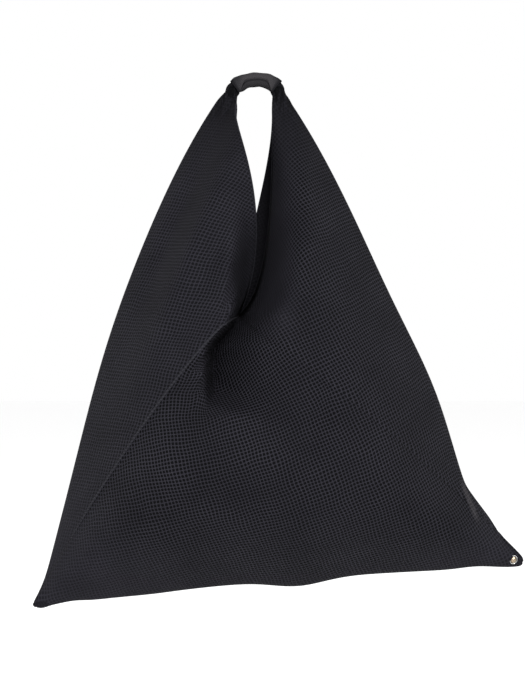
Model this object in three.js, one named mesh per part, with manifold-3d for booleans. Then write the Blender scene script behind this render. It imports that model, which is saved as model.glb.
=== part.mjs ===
// A triangular tote of open-hole spacer mesh, hanging empty from its short handle.
// One strip of mesh, three squares long, is folded on the diagonal of each square. The two outer squares make
// the ears that rise to the handle, and the middle one makes the base. Two seams close it: one from the foot
// of the front opening to the left corner, one from the foot of the back opening to the right corner.
// Millimetres, +Z up, +X right, front towards -Y. The origin is on the flat underside of the handle's crown.

import * as THREE from "three";
import Module from "manifold-3d";

const { clamp, lerp, smoothstep } = THREE.MathUtils;

const wasm = await Module();
wasm.setup();

// Cloth and clearances
const SHEET = 2; // thickness of the spacer mesh
const GAP = 0.3; // clearance between pieces that touch
const JOIN_GAP = 0.4; // between two squares where the strip runs on
const HEM_GAP = 0.5; // between a panel's rim and its rolled hem, both of which are faceted
const HEM_RADIUS = 1.4; // rolled hem along the opening
const SEAM_RADIUS = 1.4; // bead of a closed seam
const SEAM_GAP = 0.88; // beside the bead, where the faceted pieces climb a steep wall

// Handle
const CROWN_HALF = 11; // half the straight stretch of the crown
const CROWN_RISE = 7.5; // from the underside of the crown to the middle of the sleeve
const SLEEVE_WALL = 2;
const SLEEVE_CROWN_HALF = 7.5; // half the sleeve's height at the crown
const SLEEVE_MOUTH_HALF = 6.5; // half the sleeve's width at its mouths
const SLEEVE_HALF_DEPTH = 7.5; // half the sleeve's size from front to back
const SLEEVE_CORNER = 4; // outer corner radius of the sleeve's section
const SLEEVE_OVERLAP = 4.5; // how far the sleeve's two edges lie over each other
const LEFT_MOUTH_X = -25.5;
const RIGHT_MOUTH_X = 27;

// Pivot of the bag under the sleeve's mouths
const PIVOT_DROP = 12; // below the crown's underside
const TIP_RADIUS = 6; // the rounded top of each ear's tip

// Ears, measured down from the pivot
const NECK_CUT = 16; // where the pleated tips end and the open ears begin
const LEFT_NECK = 41;
const LEFT_FLARE = 62;
const LEFT_FLARE_REACH = 140;
const LEFT_SLOPE = 0.26;
const LEFT_KICK = 0.3;
const LEFT_KICK_AT = 560;
const LEFT_DROP = 588;
const RIGHT_NECK = 37;
const RIGHT_FLARE = 35;
const RIGHT_FLARE_REACH = 110;
const RIGHT_SLOPE = 0.38;
const RIGHT_HIP = 8;
const RIGHT_HIP_AT = 345;
const RIGHT_HIP_REACH = 70;
const RIGHT_KICK = 0.42;
const RIGHT_KICK_AT = 450;
const RIGHT_DROP = 539;
const KICK_BLEND = 8;
const BASE_LIFT = 8; // how far the bottom fold bows up between the corners

// Opening: the feet of the front and back V, and the bows of its edges
const FRONT_FOOT = new THREE.Vector2(-19.6, -261);
const BACK_FOOT = new THREE.Vector2(-10, -215);
const HEM_START = 0.1; // share of the opening's edge that the hem leaves free at a foot
const FOOT_GAP = 4; // between the two edges of the opening at a foot
const LEFT_EDGE_TOP_X = -22;
const RIGHT_EDGE_TOP_X = 20.3;
const FRONT_LEFT_BOW = [new THREE.Vector2(12, -215), new THREE.Vector2(9, -112)];
const FRONT_RIGHT_BOW = [new THREE.Vector2(14, -238), new THREE.Vector2(21.5, -145)];
const BACK_LEFT_BOW = [new THREE.Vector2(-16, -160), new THREE.Vector2(-26, -90)];
const BACK_RIGHT_BOW = [new THREE.Vector2(-9, -165), new THREE.Vector2(19, -90)];

// Seams and joins of the strip, from a lower corner to a foot
const FRONT_SEAM_BOW = [new THREE.Vector2(-184, -478), new THREE.Vector2(-68, -302)];
const FRONT_JOIN_BOW = [new THREE.Vector2(225, -450), new THREE.Vector2(65, -330)];
const BACK_SEAM_BOW = [new THREE.Vector2(205, -440), new THREE.Vector2(60, -300)];
const BACK_JOIN_BOW = [new THREE.Vector2(-190, -490), new THREE.Vector2(-75, -300)];

// Fullness
const FOLD_RADIUS = 8; // how roundly the cloth turns at the side and bottom folds
const FRONT_BELLY = 110;
const FRONT_SWELL = 1.15;
const BACK_BELLY = 42;
const BACK_SWELL = 0.5;
const BACK_HOLLOW = 0.4; // share of the fullness that is lost at the back foot
const BACK_HOLLOW_REACH = 60;
const HOLLOW_ROUND = 12;
const NECK_PINCH = 0.5; // share of the fullness that is lost at the neck
const NECK_PINCH_REACH = 70;
const CORNER_PINCH = 0.62;
const CORNER_PINCH_REACH = 110;
const SET_BACK = 12; // the side and bottom folds lie behind the handle, which puts the weight below it
const SET_BACK_REACH = 100;
const FOLD_SHARPNESS = 0.03; // width of the rounded turn, as a share of a panel's half
const FOOT_BLEND = 12; // how late an ear's lower edge turns aside to its own side of the foot
const BLEND_POWER = 3; // how closely the fullness follows the nearest fold

// The pocket that runs down from the front foot: a steep wall on its left, a long slope on its right
const POCKET_SHIFT = -34; // how far its deepest line moves to the left on its way down
const POCKET_SHIFT_BY = 62;
const POCKET_SINK = 0.6; // share of its depth that is gone at its lower end
const POCKET_FROM = 84; // where its lower end begins to close
const POCKET_TO = 120;
const POCKET_SLANT = 0.32; // how much lower the pocket reaches on its right
const POCKET_LEFT = 54; // width of its left wall
const POCKET_RIGHT = 104; // width of its right slope, which grows from the foot down
const POCKET_RIGHT_START = 52;
const POCKET_RIGHT_BY = 60;
const SLOPE_POWER = 1.6; // 1 for an even slope, more for one that is steepest at its foot

// The rolls of the two front edges above the foot, where the cloth curls in
const LEFT_ROLL_TOP = -120;
const RIGHT_ROLL = 36; // width of the right roll near its top
const RIGHT_ROLL_TOP = -20;
const RIGHT_ROLL_SHARE = 0.9; // share of the fullness that the right roll takes well above the foot
const RIGHT_ROLL_BY = 0.4;
const ROLL_CLOSING = 3; // how late the right roll closes towards its top
const EDGE_POINTS = 40;

// Lower corners and the stud
const CORNER_CUT = 32; // where the panels end, from the point where the folds would meet
const LEFT_CORNER_END = 10; // the blunt end of the left corner, from the same point
const RIGHT_CORNER_END = 9;
const CORNER_HALF = 2.6; // half the thickness of the folded corner at its end
const CORNER_FLAT = 0.2; // the small flat at the very end of a corner
const CORNER_SQUARENESS = 0.7; // 1 for an oval section, 0 for a square one
const CORNER_NEAR = 0.06; // share of a fold over which its direction at a corner is taken
const STUD_RADIUS = 4.6;
const STUD_DOME = 2;
const STUD_RIM = 0.8;
const STUD_SEAT = 0.5; // how deep the stud presses into the cloth
const POST_RADIUS = 1.6;

// Pleats of the ear tips
const PLEATS = 7;
const PLEAT_DEPTH = 0.07;
const TIP_WAIST = 5.2; // half the depth of a tip just under its rounded top
const TIP_HALF_WIDTH = 7.6;
const TIP_CROWN = 0.7; // share of the width that is left at the very top
const TIP_FLAT = 0.02; // keeps the top from closing to a point
const TIP_FLARE = 1.3; // how late a tip widens on its way down
const TIP_SWELL = 4; // how late it deepens, so that it clears the sleeve's mouths when the bag swings

// Fineness of the meshes
const ALONG = 24;
const ACROSS = 13;
const ROW_CROWDING = 1.5; // 1 for even rows, more for rows that crowd towards the fold
const CORD_SIDES = 7;
const CORD_STEPS = 24;
const SEAM_PARTS = 4; // points of a seam's bead from one row of a panel to the next
const SEAM_SHORT = 1; // points that are left out before the foot, so that the bead ends short of it
const PAD_STATIONS = 10;
const PAD_SIDES = 20;
const TIP_LEVELS = 11;
const BEND_STEPS = 6;
const ARC_STEPS = 3;
const DOME_STEPS = 6;
const STUD_SIDES = 24;
const STEP = 1e-3; // share of a panel over which its slope is taken
const TINY = 1e-4;
const FAR = 40; // longer than any cut needs to be

const NECK_Z = -PIVOT_DROP;
const CUT_Z = NECK_Z - NECK_CUT;
const MOUTH_Z = NECK_Z + TIP_RADIUS + GAP;
const APEX_CUT = 0.03; // share of the base panel that is left off where it would come to a point
const QUARTER = Math.PI / 2;

// Outline

const softPlus = (t) => KICK_BLEND * Math.log1p(Math.exp(t / KICK_BLEND));

/** Half width of the bag on the left, at s below the pivot. */
function leftFlank(s) {
  const flare = LEFT_FLARE * (1 - Math.exp(-s / LEFT_FLARE_REACH));
  return LEFT_NECK + flare + LEFT_SLOPE * s + LEFT_KICK * softPlus(s - LEFT_KICK_AT);
}

/** Half width of the bag on the right, at s below the pivot. */
function rightFlank(s) {
  const flare = RIGHT_FLARE * (1 - Math.exp(-s / RIGHT_FLARE_REACH));
  const hip = RIGHT_HIP * Math.exp(-(((s - RIGHT_HIP_AT) / RIGHT_HIP_REACH) ** 2));
  return RIGHT_NECK + flare + RIGHT_SLOPE * s + hip + RIGHT_KICK * softPlus(s - RIGHT_KICK_AT);
}

const leftCorner = new THREE.Vector2(-leftFlank(LEFT_DROP), NECK_Z - LEFT_DROP);
const rightCorner = new THREE.Vector2(rightFlank(RIGHT_DROP), NECK_Z - RIGHT_DROP);

/** The bottom fold at a share t of the way from the left corner to the right one. */
function baseFold(t) {
  const point = leftCorner.clone().lerp(rightCorner, t);
  point.y += BASE_LIFT * Math.sin(Math.PI * t);
  return point;
}

/** The left fold, from the corner at t = 0 up to the neck at t = 1. */
function leftFold(t) {
  const s = lerp(LEFT_DROP, NECK_CUT, t);
  return new THREE.Vector2(-leftFlank(s), NECK_Z - s);
}

/** The right fold, from the corner at t = 0 up to the neck at t = 1. */
function rightFold(t) {
  const s = lerp(RIGHT_DROP, NECK_CUT, t);
  return new THREE.Vector2(rightFlank(s), NECK_Z - s);
}

const curve = (from, bow, to) => new THREE.CubicBezierCurve(from, bow[0], bow[1], to);
const footBeside = (foot, side) => foot.clone().add(new THREE.Vector2((side * FOOT_GAP) / 2, 0));

const leftTop = new THREE.Vector2(LEFT_EDGE_TOP_X, CUT_Z);
const rightTop = new THREE.Vector2(RIGHT_EDGE_TOP_X, CUT_Z);
const frontLeftEdge = curve(footBeside(FRONT_FOOT, -1), FRONT_LEFT_BOW, leftTop);
const frontRightEdge = curve(footBeside(FRONT_FOOT, 1), FRONT_RIGHT_BOW, rightTop);
const backLeftEdge = curve(footBeside(BACK_FOOT, -1), BACK_LEFT_BOW, leftTop);
const backRightEdge = curve(footBeside(BACK_FOOT, 1), BACK_RIGHT_BOW, rightTop);

// Fullness of the cloth, front and back

/** A soft minimum of the distances to the three folds. */
function distanceInside(x, z) {
  const s = Math.max(NECK_Z - z, 0);
  const t = clamp((x - leftCorner.x) / (rightCorner.x - leftCorner.x), 0, 1);
  const distances = [x + leftFlank(s), rightFlank(s) - x, z - baseFold(t).y];
  const sum = distances.reduce((total, d) => total + Math.max(d, TINY) ** -BLEND_POWER, 0);
  return sum ** (-1 / BLEND_POWER);
}

/** Share of the fullness that is left near the neck and the lower corners. */
function pinch(x, z) {
  const here = new THREE.Vector2(x, z);
  const neck = NECK_PINCH * Math.exp(-Math.max(NECK_Z - z, 0) / NECK_PINCH_REACH);
  const left = CORNER_PINCH * Math.exp(-here.distanceTo(leftCorner) / CORNER_PINCH_REACH);
  const right = CORNER_PINCH * Math.exp(-here.distanceTo(rightCorner) / CORNER_PINCH_REACH);
  return 1 - neck - left - right;
}

function fullness(x, z, belly, swell) {
  const d = distanceInside(x, z);
  const rise = 2 * FOLD_RADIUS * d + (swell * d) ** 2;
  return pinch(x, z) * belly * Math.sqrt(1 - Math.exp(-rise / belly ** 2));
}

/** What a foot of the opening leaves of the fullness around it. */
function hollow(x, z, foot, share, reach) {
  const distance = Math.hypot(x - foot.x, z - foot.y, HOLLOW_ROUND) - HOLLOW_ROUND;
  return 1 - share * Math.exp(-distance / reach);
}

const foldY = (z) => SET_BACK * (1 - Math.exp(-Math.max(NECK_Z - z, 0) / SET_BACK_REACH));

/** Share of the front fullness that the pocket under the opening takes away. */
function pocket(x, z) {
  const below = Math.max(FRONT_FOOT.y - z, 0);
  const beside = x - FRONT_FOOT.x - POCKET_SHIFT * smoothstep(below, 0, POCKET_SHIFT_BY);
  const right = lerp(POCKET_RIGHT_START, POCKET_RIGHT, smoothstep(below, 0, POCKET_RIGHT_BY));
  const out = Math.max(Math.abs(beside) - FOOT_GAP / 2, 0);
  const side = beside < 0
    ? 1 - smoothstep(out, 0, POCKET_LEFT)
    : clamp(1 - out / right, 0, 1) ** SLOPE_POWER;
  const lower = below - POCKET_SLANT * (x - FRONT_FOOT.x);
  const open = 1 - smoothstep(lower, POCKET_FROM, POCKET_TO);
  return Math.max(1 - (POCKET_SINK * below) / POCKET_TO, 0) * open * side;
}

const frontLeftPoints = frontLeftEdge.getPoints(EDGE_POINTS);
const frontRightPoints = frontRightEdge.getPoints(EDGE_POINTS);

/** How far across a line of points, which climbs all the way, lies at a height. */
function acrossAt(points, z) {
  const next = points.findIndex((p) => p.y > z);
  if (next < 1) return (next < 0 ? points.at(-1) : points[0]).x;
  const [low, high] = [points[next - 1], points[next]];
  return THREE.MathUtils.mapLinear(z, low.y, high.y, low.x, high.x);
}

/** Share of the front fullness that the rolls of the two edges above the foot take away. */
function rolls(x, z) {
  const leftGap = acrossAt(frontLeftPoints, z) - x;
  const rightGap = x - acrossAt(frontRightPoints, z);
  if (leftGap > rightGap) {
    const size = 1 - smoothstep(z, FRONT_FOOT.y, LEFT_ROLL_TOP);
    return size * (1 - smoothstep(leftGap, 0, POCKET_LEFT));
  }
  const up = clamp((z - FRONT_FOOT.y) / (RIGHT_ROLL_TOP - FRONT_FOOT.y), 0, 1);
  const size = lerp(1, RIGHT_ROLL_SHARE, smoothstep(up, 0, RIGHT_ROLL_BY)) * (1 - up ** ROLL_CLOSING);
  const reach = lerp(POCKET_RIGHT_START, RIGHT_ROLL, up);
  return size * clamp(1 - Math.max(rightGap, 0) / reach, 0, 1) ** SLOPE_POWER;
}

function frontY(x, z) {
  const taken = z > FRONT_FOOT.y ? rolls(x, z) : pocket(x, z);
  return foldY(z) - fullness(x, z, FRONT_BELLY, FRONT_SWELL) * (1 - taken);
}

function backY(x, z) {
  const depth = fullness(x, z, BACK_BELLY, BACK_SWELL);
  return foldY(z) + depth * hollow(x, z, BACK_FOOT, BACK_HOLLOW, BACK_HOLLOW_REACH);
}

// Panels. A panel's point is given by t, along its fold, and w, across it: -1 at the front edge, 0 on the
// fold, 1 at the back edge.

/** Moves along the cloth near the fold go round it, not across. */
function acrossFold(w) {
  const full = Math.hypot(1, FOLD_SHARPNESS) - FOLD_SHARPNESS;
  return (Math.hypot(w, FOLD_SHARPNESS) - FOLD_SHARPNESS) / full;
}

/** A patch between a fold, the edge opposite it, and the curves that join their ends. */
function patchPoint(side, t, w) {
  const e = acrossFold(w);
  const start = side.start(e);
  const end = side.end(e);
  const fold = side.fold(t);
  const edge = side.edge(t);
  const corners = [side.fold(0), side.fold(1), side.edge(0), side.edge(1)];
  const mix = (key) =>
    (1 - e) * fold[key] + e * edge[key] + (1 - t) * start[key] + t * end[key]
    - (1 - e) * ((1 - t) * corners[0][key] + t * corners[1][key])
    - e * ((1 - t) * corners[2][key] + t * corners[3][key]);
  const x = mix("x");
  const z = mix("y");
  return new THREE.Vector3(x, side.depth(x, z), z);
}

function panel(fold, front, back) {
  const sides = { front: { fold, depth: frontY, ...front }, back: { fold, depth: backY, ...back } };
  return (t, w) => patchPoint(w < 0 ? sides.front : sides.back, t, w);
}

/** An edge of a panel as a function of its share, whose last point is given. */
const along = (path, last) => (e) => (e >= 1 ? last.clone() : path.getPoint(e));

function earSide(fold, lower, edge) {
  const foot = edge.getPoint(0);
  const aside = foot.clone().sub(lower.getPoint(1));
  const toFoot = (e) => lower.getPoint(e).addScaledVector(aside, e ** FOOT_BLEND);
  const neck = (e) => fold(1).lerp(edge.getPoint(1), e);
  return { start: toFoot, end: neck, edge: (t) => edge.getPoint(t) };
}

function baseSide(left, right, foot) {
  return { start: along(left, foot), end: along(right, foot), edge: () => foot.clone() };
}

const frontSeam = curve(leftCorner, FRONT_SEAM_BOW, FRONT_FOOT);
const frontJoin = curve(rightCorner, FRONT_JOIN_BOW, FRONT_FOOT);
const backSeam = curve(rightCorner, BACK_SEAM_BOW, BACK_FOOT);
const backJoin = curve(leftCorner, BACK_JOIN_BOW, BACK_FOOT);

const leftEar = panel(
  leftFold,
  earSide(leftFold, frontSeam, frontLeftEdge),
  earSide(leftFold, backJoin, backLeftEdge),
);
const rightEar = panel(
  rightFold,
  earSide(rightFold, frontJoin, frontRightEdge),
  earSide(rightFold, backSeam, backRightEdge),
);
const base = panel(
  baseFold,
  baseSide(frontSeam, frontJoin, FRONT_FOOT),
  baseSide(backJoin, backSeam, BACK_FOOT),
);

// Lower corners: where the folds meet, which way the cloth lies from there, how wide it opens, and the arc
// that rounds its end

function cornerAt(tip, foldPoint, basePoint, end) {
  const up = foldPoint.clone().sub(tip).normalize();
  const level = basePoint.clone().sub(tip).normalize();
  const inward = up.clone().add(level).normalize();
  const half = Math.acos(clamp(up.dot(level), -1, 1)) / 2;
  const centre = end / (1 - Math.sin(half));
  return { tip, inward, half, end, centre, round: centre * Math.sin(half) };
}

const corners = {
  left: cornerAt(leftCorner, leftFold(CORNER_NEAR), baseFold(CORNER_NEAR), LEFT_CORNER_END),
  right: cornerAt(rightCorner, rightFold(CORNER_NEAR), baseFold(1 - CORNER_NEAR), RIGHT_CORNER_END),
};

/** How far a point lies from the tip of a corner, towards the middle of the bag. */
const fromTip = (corner, p) => new THREE.Vector2(p.x, p.z).sub(corner.tip).dot(corner.inward);

// Meshes

const inside = (value) => value + (value > 0.5 ? -STEP : STEP);

/** The share of t that takes a point a given distance in from the line t = at. */
function insetAlong(surface, at, w, distance) {
  const here = surface(at, w);
  const inwards = surface(inside(at), w).sub(here).divideScalar(STEP);
  const line = surface(at, Math.min(w + STEP, 1)).sub(surface(at, Math.max(w - STEP, -1))).normalize();
  return distance / Math.max(inwards.cross(line).length(), 1);
}

/** The share of w that takes a point a given distance in from the edge w = -1 or 1. */
function insetAcross(surface, t, w, distance) {
  const across = surface(t, w * (1 - STEP)).sub(surface(t, w)).divideScalar(STEP);
  const edge = surface(Math.min(t + STEP, 1), w).sub(surface(Math.max(t - STEP, 0), w)).normalize();
  return distance / Math.max(across.cross(edge).length(), 1);
}

/** The first t, going in from the line t = at, that is clear of the seam and of the corner. */
function firstClear(surface, at, w, distance, corner) {
  const inwards = at === 0 ? 1 : -1;
  let t = at + inwards * insetAlong(surface, at, w, distance);
  while (corner && fromTip(corner, surface(t, w)) < CORNER_CUT) t += inwards * 2 * STEP;
  return t;
}

/** How far across a panel one of its rows lies, from 0 on the fold to 1 or -1 at an edge. */
function rowAt(i) {
  const share = Math.min(Math.abs(i) / (ACROSS - 1), 1) ** ROW_CROWDING;
  return Math.abs(i) < ACROSS ? Math.sign(i) * share * (1 - APEX_CUT) : Math.sign(i);
}

/** Points of a panel's middle surface, in rows along its fold. */
function panelRows(surface, shape) {
  const rows = [];
  for (let i = -shape.rows; i <= shape.rows; i += 1) {
    const w = rowAt(i);
    const gaps = w < 0 ? shape.frontGaps : shape.backGaps;
    const from = firstClear(surface, 0, w, gaps[0], shape.startCorner);
    const to = shape.endCorner || gaps[1] ? firstClear(surface, 1, w, gaps[1], shape.endCorner) : 1;
    const row = [];
    for (let j = 0; j <= ALONG; j += 1) {
      const t = lerp(from, to, j / ALONG);
      const edge = shape.edgeInset && insetAcross(surface, t, Math.sign(w) || 1, shape.edgeInset);
      row.push(surface(t, w * (1 - edge)));
    }
    rows.push(row);
  }
  return rows;
}

function normalAt(rows, i, j) {
  const last = rows.length - 1;
  const end = rows[0].length - 1;
  const across = rows[Math.min(i + 1, last)][j].clone().sub(rows[Math.max(i - 1, 0)][j]);
  const lengthwise = rows[i][Math.min(j + 1, end)].clone().sub(rows[i][Math.max(j - 1, 0)]);
  return across.cross(lengthwise).normalize();
}

const offsetRows = (rows, distance) =>
  rows.map((row, i) => row.map((p, j) => p.clone().addScaledVector(normalAt(rows, i, j), distance)));

function signedVolume(points, faces) {
  const volume = ([a, b, c]) => points[a].dot(points[b].clone().cross(points[c]));
  return faces.reduce((total, face) => total + volume(face), 0);
}

/** A geometry from points and triangles, which are turned over where they would face inwards. */
function meshOf(points, faces) {
  const flipped = signedVolume(points, faces) < 0;
  const geometry = new THREE.BufferGeometry();
  const numbers = points.flatMap((p) => p.toArray());
  geometry.setAttribute("position", new THREE.Float32BufferAttribute(numbers, 3));
  geometry.setIndex(faces.flatMap(([a, b, c]) => (flipped ? [a, c, b] : [a, b, c])));
  geometry.computeVertexNormals();
  return geometry;
}

/** A closed skin between two matching grids of points, with a rim round all four sides. */
function skin(outer, inner) {
  const rows = outer.length;
  const columns = outer[0].length;
  const points = [...outer.flat(), ...inner.flat()];
  const top = (i, j) => i * columns + j;
  const under = (i, j) => rows * columns + top(i, j);
  const faces = [];
  const quad = (a, b, c, d) => faces.push([a, b, c], [a, c, d]);
  for (let i = 0; i < rows - 1; i += 1) {
    for (let j = 0; j < columns - 1; j += 1) {
      quad(top(i, j), top(i + 1, j), top(i + 1, j + 1), top(i, j + 1));
      quad(under(i, j), under(i, j + 1), under(i + 1, j + 1), under(i + 1, j));
    }
  }
  for (let i = 0; i < rows - 1; i += 1) {
    quad(top(i, 0), under(i, 0), under(i + 1, 0), top(i + 1, 0));
    quad(top(i + 1, columns - 1), under(i + 1, columns - 1), under(i, columns - 1), top(i, columns - 1));
  }
  for (let j = 0; j < columns - 1; j += 1) {
    quad(top(0, j + 1), under(0, j + 1), under(0, j), top(0, j));
    quad(top(rows - 1, j), under(rows - 1, j), under(rows - 1, j + 1), top(rows - 1, j + 1));
  }
  return meshOf(points, faces);
}

/** A closed solid through a row of rings with the same number of points. */
function loft(rings) {
  const sides = rings[0].length;
  const points = rings.flat();
  const faces = [];
  for (let i = 0; i < rings.length - 1; i += 1) {
    for (let j = 0; j < sides; j += 1) {
      const next = (j + 1) % sides;
      const [a, b, c, d] = [i * sides + j, i * sides + next, (i + 1) * sides + next, (i + 1) * sides + j];
      faces.push([a, b, c], [a, c, d]);
    }
  }
  for (const [ring, flip] of [[0, true], [rings.length - 1, false]]) {
    const middle = rings[ring].reduce((sum, p) => sum.add(p), new THREE.Vector3()).divideScalar(sides);
    const hub = points.push(middle) - 1;
    for (let j = 0; j < sides; j += 1) {
      const a = ring * sides + j;
      const b = ring * sides + ((j + 1) % sides);
      faces.push(flip ? [hub, b, a] : [hub, a, b]);
    }
  }
  return meshOf(points, faces);
}

function cord(points, radius) {
  const section = new THREE.Shape();
  for (let i = 0; i < CORD_SIDES; i += 1) {
    const turn = (2 * Math.PI * i) / CORD_SIDES;
    const method = i === 0 ? "moveTo" : "lineTo";
    section[method](radius * Math.cos(turn), radius * Math.sin(turn));
  }
  const extrudePath = new THREE.CatmullRomCurve3(points);
  return new THREE.ExtrudeGeometry(section, { steps: CORD_STEPS, extrudePath });
}

// Pieces of the bag

const hemWidth = 2 * HEM_RADIUS + HEM_GAP;
const seamInset = SEAM_RADIUS + SEAM_GAP;

function panelSkin(surface, shape) {
  const rows = panelRows(surface, shape);
  return skin(offsetRows(rows, SHEET / 2), offsetRows(rows, -SHEET / 2));
}

const leftEarPanel = () =>
  panelSkin(leftEar, {
    frontGaps: [seamInset, 0],
    backGaps: [JOIN_GAP / 2, 0],
    startCorner: corners.left,
    rows: ACROSS,
    edgeInset: hemWidth,
  });

const rightEarPanel = () =>
  panelSkin(rightEar, {
    frontGaps: [JOIN_GAP / 2, 0],
    backGaps: [seamInset, 0],
    startCorner: corners.right,
    rows: ACROSS,
    edgeInset: hemWidth,
  });

const basePanel = () =>
  panelSkin(base, {
    frontGaps: [seamInset, JOIN_GAP / 2],
    backGaps: [JOIN_GAP / 2, seamInset],
    startCorner: corners.left,
    endCorner: corners.right,
    rows: ACROSS - 1,
    edgeInset: 0,
  });

/** The rolled hem beside one edge of the opening: w is -1 in front and 1 behind. */
function hem(surface, w) {
  const points = [];
  for (let i = 0; i <= CORD_STEPS; i += 1) {
    const t = lerp(HEM_START, 1, i / CORD_STEPS);
    points.push(surface(t, w * (1 - insetAcross(surface, t, w, HEM_RADIUS))));
  }
  return cord(points, HEM_RADIUS);
}

/** The bead of a closed seam, from its corner to a foot of the opening, straight between a panel's rows. */
function seamBead(surface, at, side, corner) {
  const points = [];
  for (let i = 0; i <= (ACROSS - 1) * SEAM_PARTS - SEAM_SHORT; i += 1) {
    const row = Math.floor(i / SEAM_PARTS);
    const from = surface(at, side * rowAt(row));
    const p = from.lerp(surface(at, side * rowAt(row + 1)), (i % SEAM_PARTS) / SEAM_PARTS);
    if (fromTip(corner, p) > CORNER_CUT) points.push(p);
  }
  return cord(points, SEAM_RADIUS);
}

/** How near to the tip of a corner any of these pieces comes. */
function reachOf(corner, geometries) {
  const p = new THREE.Vector3();
  let nearest = Infinity;
  for (const geometry of geometries) {
    const position = geometry.getAttribute("position");
    for (let i = 0; i < position.count; i += 1) {
      nearest = Math.min(nearest, fromTip(corner, p.fromBufferAttribute(position, i)));
    }
  }
  return nearest;
}

/** How high any of these pieces comes. */
function topOf(geometries) {
  return geometries.reduce((top, geometry) => {
    geometry.computeBoundingBox();
    return Math.max(top, geometry.boundingBox.max.z);
  }, -Infinity);
}

/** A power of the size of a number, with its sign. */
const signedPower = (value, power) => Math.sign(value) * Math.abs(value) ** power;

/** The folded end of the cloth at a lower corner, sewn flat, which ends just short of its neighbours. */
function cornerPad(corner, neighbours) {
  const last = reachOf(corner, neighbours) - GAP;
  const sideways = new THREE.Vector2(-corner.inward.y, corner.inward.x);
  const depth = (d) => {
    const p = corner.tip.clone().addScaledVector(corner.inward, d);
    const blend = smoothstep(d, corner.centre, CORNER_CUT + corner.round);
    const full = [foldY(p.y) - frontY(p.x, p.y), backY(p.x, p.y) - foldY(p.y)];
    return full.map((f) => lerp(CORNER_HALF, f + SHEET / 2, blend));
  };
  const rings = [];
  const tangent = corner.centre * Math.cos(corner.half) ** 2;
  for (let i = 0; i <= PAD_STATIONS; i += 1) {
    const d = lerp(corner.end + CORNER_FLAT, last, i / PAD_STATIONS);
    const half = d < tangent
      ? Math.sqrt(corner.round ** 2 - (corner.centre - d) ** 2)
      : d * Math.tan(corner.half);
    const [front, back] = depth(d);
    const spot = corner.tip.clone().addScaledVector(corner.inward, d);
    const ring = [];
    for (let j = 0; j < PAD_SIDES; j += 1) {
      const turn = (2 * Math.PI * j) / PAD_SIDES;
      const across = signedPower(Math.cos(turn), CORNER_SQUARENESS) * half;
      const share = signedPower(Math.sin(turn), CORNER_SQUARENESS);
      const y = foldY(spot.y) + share * (share < 0 ? front : back);
      ring.push(new THREE.Vector3(spot.x + sideways.x * across, y, spot.y + sideways.y * across));
    }
    rings.push(ring);
  }
  return loft(rings);
}

function manifoldOf(geometry) {
  const position = geometry.getAttribute("position");
  return new wasm.Manifold(
    new wasm.Mesh({
      numProp: 3,
      vertProperties: new Float32Array(position.array),
      triVerts: new Uint32Array(geometry.index.array),
    }),
  );
}

function geometryOf(solid) {
  const mesh = solid.getMesh();
  const geometry = new THREE.BufferGeometry();
  geometry.setAttribute("position", new THREE.Float32BufferAttribute(mesh.vertProperties, 3));
  geometry.setIndex(Array.from(mesh.triVerts));
  geometry.computeVertexNormals();
  return geometry;
}

const studSpot = corners.right.tip.clone().addScaledVector(corners.right.inward, corners.right.centre);
const studY = foldY(studSpot.y);
const seatDepth = CORNER_HALF - STUD_SEAT;

/** A round solid about the stud's axis, between two depths. */
function plug(radius, from, to) {
  const ring = (y) =>
    Array.from({ length: STUD_SIDES }, (_, i) => {
      const turn = (2 * Math.PI * i) / STUD_SIDES;
      const x = studSpot.x + radius * Math.cos(turn);
      return new THREE.Vector3(x, y, studSpot.y + radius * Math.sin(turn));
    });
  return loft([ring(from), ring(to)]);
}

function rightCornerPad(neighbours) {
  const cuts = [
    plug(POST_RADIUS + GAP, studY - FAR, studY + FAR),
    plug(STUD_RADIUS + GAP, studY - FAR, studY - seatDepth),
    plug(STUD_RADIUS + GAP, studY + seatDepth, studY + FAR),
  ];
  const whole = manifoldOf(cornerPad(corners.right, neighbours));
  return geometryOf(cuts.reduce((solid, cut) => solid.subtract(manifoldOf(cut)), whole));
}

/** A stud's profile, from the axis out to the rim and back over the dome. */
function studProfile(post) {
  const points = [
    new THREE.Vector2(0, -post),
    new THREE.Vector2(POST_RADIUS, -post),
    new THREE.Vector2(POST_RADIUS, 0),
    new THREE.Vector2(STUD_RADIUS, 0),
  ];
  for (let i = 0; i < DOME_STEPS; i += 1) {
    const turn = QUARTER * (i / DOME_STEPS);
    points.push(new THREE.Vector2(STUD_RADIUS * Math.cos(turn), STUD_RIM + STUD_DOME * Math.sin(turn)));
  }
  points.push(new THREE.Vector2(0, STUD_RIM + STUD_DOME));
  return points;
}

const studGap = seatDepth + GAP;
const studPost = 2 * studGap - GAP;

const cornerStud = () => new THREE.LatheGeometry(studProfile(studPost), STUD_SIDES);

function cornerStudBack() {
  const profile = [
    new THREE.Vector2(0, 0),
    new THREE.Vector2(STUD_RADIUS, 0),
    new THREE.Vector2(STUD_RADIUS, STUD_RIM),
    new THREE.Vector2(STUD_RADIUS - STUD_RIM, 2 * STUD_RIM),
    new THREE.Vector2(0, 2 * STUD_RIM),
  ];
  return new THREE.LatheGeometry(profile, STUD_SIDES);
}

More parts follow.
